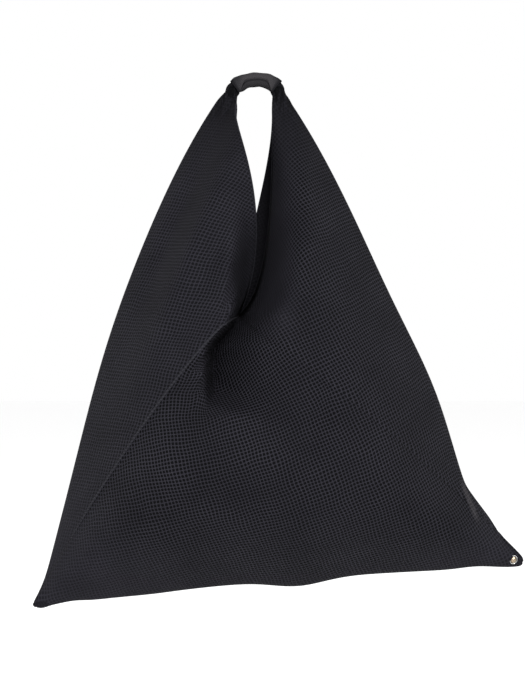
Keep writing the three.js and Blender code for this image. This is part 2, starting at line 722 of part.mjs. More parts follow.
/** The pleated tip of an ear, from just above its neighbours up to its round top under the sleeve. */
function earTip(mouthX, flankX, edgeX, neighbours) {
  const bottom = topOf(neighbours) + GAP;
  const neckWidth = Math.abs(flankX - edgeX) / 2;
  const neckX = (flankX + edgeX) / 2;
  const neckDepth = SHEET / 2 + foldY(CUT_Z) - frontY(neckX, CUT_Z);
  const rings = [];
  for (let i = 0; i <= TIP_LEVELS; i += 1) {
    const z = lerp(bottom, NECK_Z + TIP_RADIUS, i / TIP_LEVELS);
    const down = clamp((NECK_Z - z) / NECK_CUT, 0, 1);
    const up = Math.max((z - NECK_Z) / TIP_RADIUS, 0);
    const dome = Math.sqrt(Math.max(1 - up ** 2, TIP_FLAT));
    const crown = lerp(TIP_CROWN, 1, dome);
    const width = lerp(TIP_HALF_WIDTH, neckWidth, down ** TIP_FLARE) * crown;
    const depth = lerp(TIP_WAIST, neckDepth, down ** TIP_SWELL) * dome;
    const middle = lerp(mouthX, neckX, down);
    const ring = [];
    const sides = 4 * PLEATS;
    for (let j = 0; j < sides; j += 1) {
      const turn = (2 * Math.PI * j) / sides;
      const pleat = 1 - PLEAT_DEPTH * (1 - Math.cos(PLEATS * turn)) * down;
      const y = foldY(z) * down + depth * pleat * Math.sin(turn);
      ring.push(new THREE.Vector3(middle + width * pleat * Math.cos(turn), y, z));
    }
    rings.push(ring);
  }
  return loft(rings);
}

// Pieces of the handle

/** Middle of the sleeve and its outward direction, at stations from the left mouth over to the right one. */
function sleeveStations() {
  const stations = [];
  const rise = CROWN_RISE - MOUTH_Z;
  for (const side of [-1, 1]) {
    const mouth = side < 0 ? LEFT_MOUTH_X : RIGHT_MOUTH_X;
    const reach = Math.abs(mouth) - CROWN_HALF;
    const bend = [];
    for (let i = 0; i <= BEND_STEPS; i += 1) {
      const turn = QUARTER * (i / BEND_STEPS);
      const [c, s] = i === BEND_STEPS ? [0, 1] : [Math.cos(turn), Math.sin(turn)];
      bend.push({
        middle: new THREE.Vector2(side * (CROWN_HALF + reach * c), MOUTH_Z + rise * s),
        outward: new THREE.Vector2((side * c) / reach, s / rise).normalize(),
        half: lerp(SLEEVE_MOUTH_HALF, SLEEVE_CROWN_HALF, i / BEND_STEPS),
      });
    }
    stations.push(...(side < 0 ? bend : bend.reverse()));
  }
  return stations;
}

/** The corner arc of a section: sign of each half axis, and the quarter turn it covers. */
function cornerArc(half, depth, radius, [r, y], turnFrom, lift) {
  return Array.from({ length: ARC_STEPS + 1 }, (_, i) => {
    const turn = turnFrom + QUARTER * (i / ARC_STEPS);
    const reach = radius + lift;
    return new THREE.Vector2(
      r * (half - radius) + reach * Math.sin(turn),
      y * (depth - radius) + reach * Math.cos(turn),
    );
  });
}

/** One layer of the sleeve's wrapped section, as (outward, front to back) pairs. */
function sleeveSection(half, depth, radius) {
  const lap = SLEEVE_WALL + GAP;
  return [
    new THREE.Vector2(SLEEVE_OVERLAP / 2, -depth),
    ...cornerArc(half, depth, radius, [-1, -1], -2 * QUARTER, 0),
    ...cornerArc(half, depth, radius, [-1, 1], -QUARTER, 0),
    ...cornerArc(half, depth, radius, [1, 1], 0, 0),
    ...cornerArc(half, depth, radius, [1, -1], QUARTER, lap),
    new THREE.Vector2(-SLEEVE_OVERLAP / 2, -depth - lap),
  ];
}

function placeSection(station, section) {
  return section.map((p) => {
    const spot = station.middle.clone().addScaledVector(station.outward, p.x);
    return new THREE.Vector3(spot.x, p.y, spot.y);
  });
}

function handleSleeve() {
  const layer = (inwards) =>
    sleeveStations().map((station) =>
      placeSection(
        station,
        sleeveSection(station.half - inwards, SLEEVE_HALF_DEPTH - inwards, SLEEVE_CORNER - inwards),
      ),
    );
  return skin(layer(0), layer(SLEEVE_WALL));
}

function handleCore() {
  const inwards = SLEEVE_WALL + GAP;
  const rings = sleeveStations().map((station) => {
    const half = station.half - inwards;
    const depth = SLEEVE_HALF_DEPTH - inwards;
    const radius = SLEEVE_CORNER - inwards;
    return placeSection(station, [
      ...cornerArc(half, depth, radius, [-1, -1], -2 * QUARTER, 0),
      ...cornerArc(half, depth, radius, [-1, 1], -QUARTER, 0),
      ...cornerArc(half, depth, radius, [1, 1], 0, 0),
      ...cornerArc(half, depth, radius, [1, -1], QUARTER, 0),
    ]);
  });
  return loft(rings);
}

// Assembly

const finishes = {
  mesh: { color: 0x25262d, roughness: 0.9, metalness: 0 },
  hem: { color: 0x2c2d34, roughness: 0.85, metalness: 0 },
  sleeve: { color: 0x1d1e24, roughness: 0.6, metalness: 0 },
  metal: { color: 0xb9a98a, roughness: 0.3, metalness: 1 },
};

function piece(name, geometry, finish) {
  const mesh = new THREE.Mesh(geometry, new THREE.MeshStandardMaterial(finishes[finish]));
  mesh.name = name;
  return mesh;
}

function buildBag() {
  const [left, right, bottom] = [leftEarPanel(), rightEarPanel(), basePanel()];
  const frontBead = seamBead(base, 0, -1, corners.left);
  const backBead = seamBead(base, 1, 1, corners.right);
  const leftHems = [hem(leftEar, -1), hem(leftEar, 1)];
  const rightHems = [hem(rightEar, -1), hem(rightEar, 1)];
  const leftTip = earTip(LEFT_MOUTH_X, leftFold(1).x, LEFT_EDGE_TOP_X, [left, ...leftHems]);
  const rightTip = earTip(RIGHT_MOUTH_X, rightFold(1).x, RIGHT_EDGE_TOP_X, [right, ...rightHems]);
  const bag = new THREE.Group();
  bag.add(
    piece("left_ear_panel", left, "mesh"),
    piece("right_ear_panel", right, "mesh"),
    piece("base_panel", bottom, "mesh"),
    piece("front_seam_bead", frontBead, "hem"),
    piece("back_seam_bead", backBead, "hem"),
    piece("left_front_hem", leftHems[0], "hem"),
    piece("left_back_hem", leftHems[1], "hem"),
    piece("right_front_hem", rightHems[0], "hem"),
    piece("right_back_hem", rightHems[1], "hem"),
    piece("left_ear_tip", leftTip, "mesh"),
    piece("right_ear_tip", rightTip, "mesh"),
    piece("left_corner_pad", cornerPad(corners.left, [left, bottom, frontBead]), "mesh"),
    piece("right_corner_pad", rightCornerPad([right, bottom, backBead]), "mesh"),
  );
  return bag;
}

function buildStud() {
  const stud = new THREE.Group();
  const cap = piece("corner_stud", cornerStud(), "metal");
  cap.rotation.x = Math.PI;
  cap.position.y = -studGap;
  const back = piece("corner_stud_back", cornerStudBack(), "metal");
  back.position.y = studGap;
  stud.add(cap, back);
  stud.position.set(studSpot.x, studY, studSpot.y);
  return stud;
}

function buildHandle() {
  const handle = new THREE.Group();
  handle.add(piece("handle_sleeve", handleSleeve(), "sleeve"), piece("handle_core", handleCore(), "mesh"));
  return handle;
}

const tote = new THREE.Group();
tote.add(buildHandle(), buildBag(), buildStud());

export default tote;
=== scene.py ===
"""Visual model of a triangular tote of open-hole mesh that hangs from its short handle.

One strip of mesh, three squares long, is folded on the diagonal of each square: two ears and a base. The
cloth is worked out in millimetres, with its origin under the crown of the handle, and made in metres.
"""

import logging
import math
from dataclasses import dataclass, field
from enum import Enum
from typing import Callable, Iterable

import bmesh
import bpy
import numpy as np
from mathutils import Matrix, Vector


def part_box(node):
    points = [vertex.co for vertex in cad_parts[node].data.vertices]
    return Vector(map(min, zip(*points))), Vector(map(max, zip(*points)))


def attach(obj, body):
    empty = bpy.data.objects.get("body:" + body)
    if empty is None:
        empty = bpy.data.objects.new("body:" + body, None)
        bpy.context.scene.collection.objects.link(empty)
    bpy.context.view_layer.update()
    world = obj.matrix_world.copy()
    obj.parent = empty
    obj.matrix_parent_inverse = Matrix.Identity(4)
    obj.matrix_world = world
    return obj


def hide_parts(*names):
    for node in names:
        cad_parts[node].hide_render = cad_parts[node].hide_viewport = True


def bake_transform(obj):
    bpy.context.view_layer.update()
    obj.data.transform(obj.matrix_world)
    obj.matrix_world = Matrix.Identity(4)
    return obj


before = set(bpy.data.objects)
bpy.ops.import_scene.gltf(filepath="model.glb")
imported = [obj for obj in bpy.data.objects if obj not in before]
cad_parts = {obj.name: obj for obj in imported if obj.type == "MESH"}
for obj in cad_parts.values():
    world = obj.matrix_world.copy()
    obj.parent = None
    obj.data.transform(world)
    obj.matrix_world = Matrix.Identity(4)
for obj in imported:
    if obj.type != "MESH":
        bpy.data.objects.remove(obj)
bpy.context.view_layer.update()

logging.basicConfig(level=logging.INFO, format="%(message)s")
log = logging.getLogger("tote")

MM = 0.001
Array = np.ndarray
REST_PLACE = "rest_place"


class Body(Enum):
    """The two bodies of the frame."""

    HANDLE = "handle"
    BAG = "bag"


class Square(Enum):
    """The three squares of the folded strip."""

    LEFT_EAR = "left_ear"
    RIGHT_EAR = "right_ear"
    BASE = "base"


# ---------------------------------------------------------------- small maths


def smoothstep(start: float, end: float, value: Array) -> Array:
    """A smooth rise from 0 at start to 1 at end."""
    t = np.clip((value - start) / (end - start), 0, 1)
    return t * t * (3 - 2 * t)


def mix(a: Array, b: Array, share: Array) -> Array:
    """A share of the way from a to b."""
    return a + (b - a) * share


def bump(value: Array, middle: float, reach: float) -> Array:
    """A smooth bump that is 1 at the middle and fades over the reach."""
    return np.exp(-(((value - middle) / reach) ** 2))


def relaxed(table: Array, rounds: int) -> Array:
    """The rows of a table, each eased towards its neighbours a number of times, with both ends kept."""
    for _ in range(rounds):
        table[1:-1] = (table[:-2] + 2 * table[1:-1] + table[2:]) / 4
    return table


def bezier(points: Iterable, t: Array) -> Array:
    """Points of a cubic curve.

    Args:
        points: the curve's two ends and the two points between them that bend it.
        t: shares of the way along it.

    Returns:
        One point for each share, in the last axis.
    """
    a, b, c, d = (np.asarray(p, float) for p in points)
    t = np.asarray(t, float)[..., None]
    u = 1 - t
    return u**3 * a + 3 * u * u * t * b + 3 * u * t * t * c + t**3 * d


def unit(vectors: Array) -> Array:
    """The vectors, each made one long."""
    return vectors / np.maximum(np.linalg.norm(vectors, axis=-1, keepdims=True), 1e-9)


# ---------------------------------------------------------------- the cloth's shape


@dataclass(frozen=True)
class Flank:
    """One side fold of the bag: its half width at a distance below the pivot, in millimetres."""

    side: int
    neck: float
    flare: float
    flare_reach: float
    slope: float
    kick: float
    kick_at: float
    drop: float
    hip: float = 0.0
    hip_at: float = 345.0
    hip_reach: float = 70.0
    kick_blend: float = 8.0
    # Where the slope changes once more near the corner: distance and change
    toes: tuple = ()
    toe_blend: float = 2.0

    def half_width(self, s: Array) -> Array:
        """Half width at s below the pivot."""
        flare = self.flare * (1 - np.exp(-s / self.flare_reach))
        hip = self.hip * bump(s, self.hip_at, self.hip_reach)
        kick = self.kick * self.kick_blend * np.logaddexp(0, (s - self.kick_at) / self.kick_blend)
        toe = sum(
            self.toe_blend * slope * np.logaddexp(0, (s - at) / self.toe_blend) for at, slope in self.toes
        )
        return self.neck + flare + self.slope * s + hip + kick + toe


@dataclass(frozen=True)
class Outline:
    """The bag seen from the front: its folds, its opening and its seams, as (x, z) in millimetres."""

    pivot_z: float = -12.0
    neck_cut: float = 16.0
    base_lift: float = 8.0
    # Where the bottom fold sags or lifts: x, reach and height
    base_waves: tuple = ((50, 42, -8.2), (-247, 9, -2.2), (-211, 18, 2.0), (-120, 35, -1.0), (257, 26, 2.6))
    left: Flank = Flank(-1, 41, 62, 140, 0.2535, 0.3, 560, 587, hip=4.4, hip_at=285, hip_reach=130)
    right: Flank = Flank(
        1, 37, 35, 110, 0.38, 0.4, 446, 539, hip=9.5, hip_at=333, hip_reach=90, kick_blend=3.5,
        toes=((484, -0.15), (514, 0.6)),
    )
    front_foot: tuple[float, float] = (-19.6, -261)
    back_foot: tuple[float, float] = (-10, -215)
    left_edge_top: tuple[float, float] = (-22, -28)
    right_edge_top: tuple[float, float] = (20.3, -28)
    front_left_bow: tuple = ((30.7, -153.5), (-25.6, -58.0))
    front_right_bow: tuple = ((14, -238), (21.5, -145))
    back_left_bow: tuple = ((-16, -160), (-26, -90))
    back_right_bow: tuple = ((-9, -165), (21, -84))
    front_seam_bow: tuple = ((-189, -475), (-72, -300))
    front_join_bow: tuple = ((225, -450), (65, -330))
    back_seam_bow: tuple = ((205, -440), (60, -300))
    back_join_bow: tuple = ((-190, -490), (-75, -300))
    left_blunt: float = 3.5
    right_blunt: float = 11.6

    @property
    def cut_z(self) -> float:
        """Height at which the ears narrow into their pleated necks."""
        return self.pivot_z - self.neck_cut

    def flank_point(self, flank: Flank, t: Array) -> Array:
        """A side fold, from the corner at 0 up to the neck at 1."""
        s = mix(flank.drop, self.neck_cut, np.asarray(t, float))
        return np.stack([flank.side * flank.half_width(s), self.pivot_z - s], -1)

    def base_fold(self, t: Array) -> Array:
        """The bottom fold, from the left corner at 0 to the right one at 1."""
        t = np.asarray(t, float)
        left = self.flank_point(self.left, 0.0)
        right = self.flank_point(self.right, 0.0)
        line = mix(left, right, t[..., None])
        wave = sum(height * bump(line[..., 0], x, reach) for x, reach, height in self.base_waves)
        line[..., 1] += self.base_lift * np.sin(np.pi * t) + wave
        return line

    def corner_axis(self, flank: Flank) -> tuple[Array, Array]:
        """Where the folds of a lower corner would meet, and the direction from there into the bag."""
        corner = self.flank_point(flank, 0.0)
        up = unit(self.flank_point(flank, 0.06) - corner)
        along = unit(self.base_fold(np.array(0.06 if flank.side < 0 else 0.94)) - corner)
        return corner, unit(up + along)

    def blunt(self, place: Array) -> Array:
        """Draws points near the lower corners in, so that the corners end bluntly."""
        for flank, end in ((self.left, self.left_blunt), (self.right, self.right_blunt)):
            corner, into = self.corner_axis(flank)
            inwards = np.maximum((place - corner) @ into, 0)
            place = place + ((inwards**4 + end**4) ** 0.25 - inwards)[..., None] * into
        return place

    def curve(self, start: Iterable, bow: tuple, end: Iterable) -> Callable[[Array], Array]:
        """A bowed edge as a function of the share of the way along it."""
        return lambda t: bezier((start, bow[0], bow[1], end), t)


@dataclass(frozen=True)
class Fullness:
    """How far the cloth stands out in front of the folds and behind them, in millimetres."""

    outline: Outline
    fold_radius: float = 8.0
    front_belly: float = 110.0
    front_swell: float = 1.15
    back_belly: float = 42.0
    back_swell: float = 0.5
    blend_power: float = 3.0
    set_back: float = 12.0
    set_back_reach: float = 100.0
    neck_pinch: float = 0.5
    neck_pinch_reach: float = 70.0
    corner_pinch: float = 0.62
    corner_pinch_reach: float = 110.0
    corner_flat_to: float = 42.0
    back_hollow: float = 0.4
    back_hollow_reach: float = 60.0
    back_hollow_round: float = 12.0
    # The pocket that runs down from the foot of the front opening
    pocket_shift: float = -27.5
    pocket_shift_by: float = 44.0
    pocket_sink: float = 0.36
    pocket_sink_by: float = 92.0
    pocket_from: float = 86.0
    pocket_to: float = 114.0
    pocket_slant: float = 0.32
    pocket_left: float = 9.0
    pocket_right: float = 112.0
    pocket_right_start: float = 52.0
    pocket_right_by: float = 60.0
    slope_power: float = 1.6
    slope_power_below: float = 2.15
    # The rolls of the two front edges above the foot
    left_roll: float = 30.0
    left_roll_by: float = 0.35
    left_roll_top: float = -100.0
    right_roll: float = 36.0
    right_roll_top: float = -4.0
    right_roll_share: float = 0.9
    # The long soft fold down the left ear, and the crease where the right ear's roll ends
    fold_through: tuple[float, float] = (-64.0, -178.0)
    fold_lean: float = math.radians(22.5)
    fold_height: float = 14.0
    fold_spacing: float = 74.0
    fold_off: float = 14.0
    fold_spread: float = 42.0
    fold_half_length: float = 120.0
    crease_x: float = 74.0
    crease_z: float = -368.0
    crease_depth: float = 7.0
    crease_width: float = 13.0
    crease_length: float = 46.0
    soft_from_edge: float = 40.0
    streak_from_edge: float = 9.0
    # The tucked ridge above the right corner: place, lean, half width, half length and height
    streak: tuple = ((246.0, -475.0), math.radians(21), 4.2, 25.0, 2.5)

    def fold_y(self, z: Array) -> Array:
        """How far back the folds lie at a height."""
        return self.set_back * (1 - np.exp(-np.maximum(self.outline.pivot_z - z, 0) / self.set_back_reach))

    def distance_inside(self, x: Array, z: Array) -> Array:
        """A soft minimum of the distances to the three folds."""
        line = self.outline
        s = np.maximum(line.pivot_z - z, 0)
        left = line.flank_point(line.left, 0.0)
        right = line.flank_point(line.right, 0.0)
        t = np.clip((x - left[0]) / (right[0] - left[0]), 0, 1)
        gaps = (
            x + line.left.half_width(s),
            line.right.half_width(s) - x,
            z - line.base_fold(t)[..., 1],
        )
        total = sum(np.maximum(gap, 1e-4) ** -self.blend_power for gap in gaps)
        return total ** (-1 / self.blend_power)

    def pinch(self, x: Array, z: Array) -> Array:
        """Share of the fullness that is left near the neck and the lower corners."""
        line = self.outline
        share = 1 - self.neck_pinch * np.exp(-np.maximum(line.pivot_z - z, 0) / self.neck_pinch_reach)
        for flank in (line.left, line.right):
            corner = line.flank_point(flank, 0.0)
            distance = np.hypot(x - corner[0], z - corner[1])
            share = share - self.corner_pinch * np.exp(-distance / self.corner_pinch_reach)
            share = share * smoothstep(4.0, self.corner_flat_to, distance)
        return share

    def full(self, x: Array, z: Array, belly: float, swell: float) -> Array:
        """The plain rounded fullness of one face."""
        d = self.distance_inside(x, z)
        rise = 2 * self.fold_radius * d + (swell * d) ** 2
        return self.pinch(x, z) * belly * np.sqrt(1 - np.exp(-rise / belly**2))

    def edge_x(self, bow: tuple, top: tuple, z: Array) -> Array:
        """How far across a front edge of the opening lies at a height."""
        line = bezier((self.outline.front_foot, bow[0], bow[1], top), np.linspace(0, 1, 60))
        return np.interp(z, line[:, 1], line[:, 0])

    def pocket(self, x: Array, z: Array) -> Array:
        """Share of the front fullness that the pocket under the opening takes away."""
        foot = self.outline.front_foot
        below = np.maximum(foot[1] - z, 0)
        beside = x - foot[0] - self.pocket_shift * smoothstep(0, self.pocket_shift_by, below)
        right = mix(self.pocket_right_start, self.pocket_right, smoothstep(0, self.pocket_right_by, below))
        wall = np.clip(1 + beside / self.pocket_left, 0, 1)
        wall = wall - 0.12 * np.sin(2 * np.pi * wall)
        power = mix(self.slope_power, self.slope_power_below, smoothstep(0, self.pocket_shift_by, below))
        slope = np.clip(1 - np.maximum(beside, 0) / right, 0, 1) ** power
        sunk = 1 - self.pocket_sink * below / self.pocket_sink_by
        lower = below - self.pocket_slant * (x - foot[0])
        shut = 1 - smoothstep(self.pocket_from, self.pocket_to, lower)
        return np.maximum(sunk, 0) * shut * np.where(beside < 0, wall, slope)

    def rolls(self, x: Array, z: Array) -> Array:
        """Share of the front fullness that the rolls of the two edges above the foot take away."""
        o = self.outline
        left_gap = self.edge_x(o.front_left_bow, o.left_edge_top, z) - x
        right_gap = x - self.edge_x(o.front_right_bow, o.right_edge_top, z)
        foot = o.front_foot[1]
        rise = np.clip((z - foot) / (self.left_roll_top - foot), 0, 1)
        left_size = 1 - smoothstep(0.15, 1, rise)
        up = np.clip((z - foot) / (self.right_roll_top - foot), 0, 1)
        right_size = mix(1.0, self.right_roll_share, smoothstep(0, 0.4, up)) * (1 - up**6)
        left_reach = mix(self.pocket_left, self.left_roll, smoothstep(0, self.left_roll_by, rise))
        left = np.clip(1 - np.maximum(left_gap, 0) / left_reach, 0, 1)
        left = left - 0.12 * np.sin(2 * np.pi * left)
        right_reach = mix(self.pocket_right_start, self.right_roll, up)
        right = np.clip(1 - np.maximum(right_gap, 0) / right_reach, 0, 1) ** self.slope_power
        return np.where(left_gap > right_gap, left_size * left, right_size * right)

    def soft_folds(self, x: Array, z: Array) -> Array:
        """Depth that the soft folds of the ears add, towards the front."""
        across = (x - self.fold_through[0]) * -math.cos(self.fold_lean)
        across = across + (z - self.fold_through[1]) * math.sin(self.fold_lean)
        along = (x - self.fold_through[0]) * math.sin(self.fold_lean)
        along = along + (z - self.fold_through[1]) * math.cos(self.fold_lean)
        wave = np.cos(2 * np.pi * across / self.fold_spacing)
        near = bump(across, self.fold_off, self.fold_spread) * bump(along, 0, self.fold_half_length)
        crease = bump(x, self.crease_x, self.crease_width) * bump(z, self.crease_z, self.crease_length)
        return self.fold_height * wave * near - self.crease_depth * crease

    def streak_height(self, x: Array, z: Array) -> Array:
        """Height of the short tucked ridge above the right corner."""
        (at_x, at_z), lean, width, length, height = self.streak
        off = (x - at_x) * math.cos(lean) + (z - at_z) * math.sin(lean)
        down = (x - at_x) * math.sin(lean) - (z - at_z) * math.cos(lean)
        return height * np.exp(-((off / width) ** 2) - (down / length) ** 4)

    def front(self, x: Array, z: Array) -> Array:
        """Depth of the front face, negative towards the front."""
        foot = self.outline.front_foot[1]
        taken = np.where(z > foot, self.rolls(x, z), self.pocket(x, z))
        full = self.full(x, z, self.front_belly, self.front_swell)
        inside = self.distance_inside(x, z)
        soft = self.soft_folds(x, z) * smoothstep(0, self.soft_from_edge, inside)
        streak = self.streak_height(x, z) * smoothstep(0, self.streak_from_edge, inside)
        return self.fold_y(z) - (full + soft) * (1 - taken) - streak

    def back(self, x: Array, z: Array) -> Array:
        """Depth of the back face."""
        foot = self.outline.back_foot
        reach = self.back_hollow_round
        distance = np.hypot(np.hypot(x - foot[0], z - foot[1]), reach) - reach
        depth = self.full(x, z, self.back_belly, self.back_swell)
        return self.fold_y(z) + depth * (1 - self.back_hollow * np.exp(-distance / self.back_hollow_reach))


@dataclass(frozen=True)
class Neck:
    """How the top of an ear gathers into the mouth of the handle's sleeve, in millimetres."""

    side: int
    outer: tuple[float, ...]
    inner: tuple[float, ...]
    heights: tuple[float, ...] = (-18.0, -12.0, -8.5, -5.0, -2.0, 1.0)
    half_depths: tuple[float, ...] = (8.2, 6.6, 5.8, 5.3, 5.0, 4.8)
    top_z: float = 1.0
    gather_from: float = -22.0
    gather_to: float = -9.0
    wrap: float = 0.93
    pleats: float = 7.0
    pleat_depth: float = 0.16
    crease: float = 1.3
    crease_reach: float = 34.0

    def bundle(self, w: Array, z: Array) -> tuple[Array, Array]:
        """The gathered cloth's section at a height, as x and y."""
        outer = np.interp(z, self.heights, self.outer)
        inner = np.interp(z, self.heights, self.inner)
        half_depth = np.interp(z, self.heights, self.half_depths)
        turn = math.pi * self.wrap * w
        ripple = 1 - self.pleat_depth * (0.5 - 0.5 * np.cos(self.pleats * turn))
        x = self.side * ((outer + inner) / 2 + (outer - inner) / 2 * ripple * np.cos(turn))
        return x, half_depth * ripple * np.sin(turn)


@dataclass(frozen=True)
class FoldedStrip:
    """The middle surface of the whole cloth, as a function of a square and a place on it.

    A place is given by t, along the fold, and w, across it: -1 at the front edge, 0 on the fold and 1 at the
    back edge. On an ear, t is 0 on the seam or join to the base, 1 at the neck and NECK_END in the sleeve.
    """

    NECK_END = 1.05

    outline: Outline = Outline()
    fullness: Fullness = Fullness(Outline())
    necks: dict = field(
        default_factory=lambda: {
            Square.LEFT_EAR: Neck(
                -1, outer=(45.0, 40.5, 37.2, 33.8, 31.2, 30.0), inner=(21.9, 21.3, 20.5, 19.4, 19.0, 19.0)
            ),
            Square.RIGHT_EAR: Neck(
                1, outer=(42.0, 38.2, 35.2, 33.6, 33.0, 32.0), inner=(20.1, 20.3, 20.5, 18.8, 18.4, 18.4)
            ),
        }
    )
    fold_sharpness: float = 0.03

    def across_fold(self, w: Array) -> Array:
        """Share of the way from the fold to the edge, slowed near the fold where the cloth turns."""
        soft = self.fold_sharpness
        return (np.hypot(w, soft) - soft) / (math.hypot(1, soft) - soft)

    def sides(self, square: Square) -> tuple:
        """The fold of a square, and the edge and the two end lines of its front and its back."""
        o = self.outline
        left, right = o.flank_point(o.left, 0.0), o.flank_point(o.right, 0.0)
        seam_front = o.curve(left, o.front_seam_bow, o.front_foot)
        join_front = o.curve(right, o.front_join_bow, o.front_foot)
        seam_back = o.curve(right, o.back_seam_bow, o.back_foot)
        join_back = o.curve(left, o.back_join_bow, o.back_foot)
        if square is Square.BASE:
            front_foot, back_foot = np.array(o.front_foot), np.array(o.back_foot)
            front = (seam_front, join_front, lambda t: front_foot + 0 * np.asarray(t)[..., None])
            back = (join_back, seam_back, lambda t: back_foot + 0 * np.asarray(t)[..., None])
            return o.base_fold, front, back
        is_left = square is Square.LEFT_EAR
        flank = o.left if is_left else o.right
        top = o.left_edge_top if is_left else o.right_edge_top
        fold_top = o.flank_point(flank, 1.0)
        neck = lambda e: mix(fold_top, np.array(top), np.asarray(e)[..., None])
        front_edge = o.curve(o.front_foot, o.front_left_bow if is_left else o.front_right_bow, top)
        back_edge = o.curve(o.back_foot, o.back_left_bow if is_left else o.back_right_bow, top)
        front = (seam_front if is_left else join_front, neck, front_edge)
        back = (join_back if is_left else seam_back, neck, back_edge)
        return (lambda t: o.flank_point(flank, t)), front, back

    def plan(self, square: Square, t: Array, w: Array) -> Array:
        """The (x, z) place of points of a square, from its fold, its edges and its end lines."""
        fold, front, back = self.sides(square)
        e = self.across_fold(w)[..., None]
        s = t[..., None]
        result = np.zeros(t.shape + (2,))
        for lines, chosen in ((front, w < 0), (back, w >= 0)):
            start, end, edge = lines
            corners = (fold(0.0), fold(1.0), edge(np.array(0.0)), edge(np.array(1.0)))
            point = (1 - e) * fold(t) + e * edge(t)
            point = point + (1 - s) * start(e[..., 0]) + s * end(e[..., 0])
            point = point - (1 - e) * ((1 - s) * corners[0] + s * corners[1])
            point = point - e * ((1 - s) * corners[2] + s * corners[3])
            result[chosen] = point[chosen]
        return result

    def point(self, square: Square, t: Array, w: Array) -> Array:
        """Points of the cloth's middle surface in millimetres, as (x, y, z)."""
        t, w = np.broadcast_arrays(np.asarray(t, float), np.asarray(w, float))
        low = np.minimum(t, 1.0)
        plan = self.plan(square, low, w)
        x, z = plan[..., 0], plan[..., 1]
        y = np.where(w < 0, self.fullness.front(x, z), self.fullness.back(x, z))
        plan = self.outline.blunt(plan)
        x, z = plan[..., 0], plan[..., 1]
        if square is Square.BASE:
            return np.stack([x, y, z], -1)
        neck = self.necks[square]
        step = 0.01
        before = self.plan(square, np.full_like(t, 1 - step), w)
        lean = (plan[..., 0] - before[..., 0]) / np.maximum(plan[..., 1] - before[..., 1], 1e-6)
        climb = np.maximum(t - 1, 0) / (self.NECK_END - 1) * (neck.top_z - self.outline.cut_z)
        x = x + np.where(t > 1, lean * climb, 0)
        z = z + climb
        fade = np.exp(-np.maximum(self.outline.cut_z - z, 0) / neck.crease_reach)
        ripple = neck.crease * fade * (0.5 - 0.5 * np.cos(neck.pleats * math.pi * neck.wrap * w))
        y = y + np.where(w < 0, ripple, -ripple) * smoothstep(0.0, 0.15, np.abs(w))
        gathered = smoothstep(neck.gather_from, neck.gather_to, z)
        bundle_x, bundle_y = neck.bundle(w, z)
        return np.stack([mix(x, bundle_x, gathered), mix(y, bundle_y, gathered), z], -1)

    def frame_at(self, square: Square, t: Array, w: Array) -> tuple[Array, Array]:
        """The cloth's outward normal and its direction along t, at points of a square."""
        t, w = np.broadcast_arrays(np.asarray(t, float), np.asarray(w, float))
        step = 2e-3
        end = 1.0 if square is Square.BASE else self.NECK_END
        hi_t, lo_t = np.minimum(t + step, end), np.maximum(t - step, 0)
        hi_w, lo_w = np.minimum(w + step, 1), np.maximum(w - step, -1)
        along = self.point(square, hi_t, w) - self.point(square, lo_t, w)
        across = self.point(square, t, hi_w) - self.point(square, t, lo_w)
        normal = unit(np.cross(across, along))
        flip = {Square.LEFT_EAR: -1, Square.RIGHT_EAR: 1, Square.BASE: 1}[square]
        return normal * flip, unit(along)


# ---------------------------------------------------------------- mesh helpers


def mapped_grid(columns: int, rows: int, place: Callable[[Array, Array], Array]) -> bmesh.types.BMesh:
    """A grid of faces laid over a surface.

    Args:
        columns: faces in the first direction.
        rows: faces in the second direction.
        place: gives points in millimetres for arrays of the two directions, each from -1 to 1.

    Returns:
        The grid in metres, with a UV map that runs from 0 to 1 both ways.
    """
    bm = bmesh.new()
    bm.loops.layers.uv.new("UVMap")
    bmesh.ops.create_grid(bm, x_segments=columns, y_segments=rows, size=1.0, calc_uvs=True)
    flat = np.array([vertex.co for vertex in bm.verts])
    for vertex, point in zip(bm.verts, place(flat[:, 0], flat[:, 1]) * MM):
        vertex.co = point
    return bm


def absorb(whole: bmesh.types.BMesh, part: bmesh.types.BMesh) -> None:
    """Moves the faces of a part into a whole."""
    mesh = bpy.data.meshes.new("part")
    part.to_mesh(mesh)
    part.free()
    whole.from_mesh(mesh)
    bpy.data.meshes.remove(mesh)


def lay_out(mesh: bpy.types.Mesh, unroll: Callable[[Array, Array], Array]) -> None:
    """Turns the 0 to 1 UV map of a mapped grid into metres on the piece."""
    layer = mesh.uv_layers["UVMap"].data
    flat = np.empty(2 * len(layer))
    layer.foreach_get("uv", flat)
    place = flat.reshape(-1, 2)
    layer.foreach_set("uv", unroll(place[:, 0], place[:, 1]).ravel())


def make_object(name: str, bm: bmesh.types.BMesh, material: bpy.types.Material) -> bpy.types.Object:
    """An object at the origin that holds the welded mesh, shaded smooth."""
    bmesh.ops.remove_doubles(bm, verts=bm.verts, dist=2e-6)
    bmesh.ops.recalc_face_normals(bm, faces=bm.faces)
    mesh = bpy.data.meshes.new(name)
    bm.to_mesh(mesh)
    bm.free()
    mesh.materials.append(material)
    mesh.polygons.foreach_set("use_smooth", [True] * len(mesh.polygons))
    piece = bpy.data.objects.new(name, mesh)
    bpy.context.scene.collection.objects.link(piece)
    return piece


def keep_rest_place(piece: bpy.types.Object) -> None:
    """Stores where each point hangs at rest, so that a pattern stays on the cloth when the neck bends."""
    points = piece.data.vertices
    place = np.empty(3 * len(points))
    points.foreach_get("co", place)
    piece.data.attributes.new(REST_PLACE, "FLOAT_VECTOR", "POINT").data.foreach_set("vector", place)


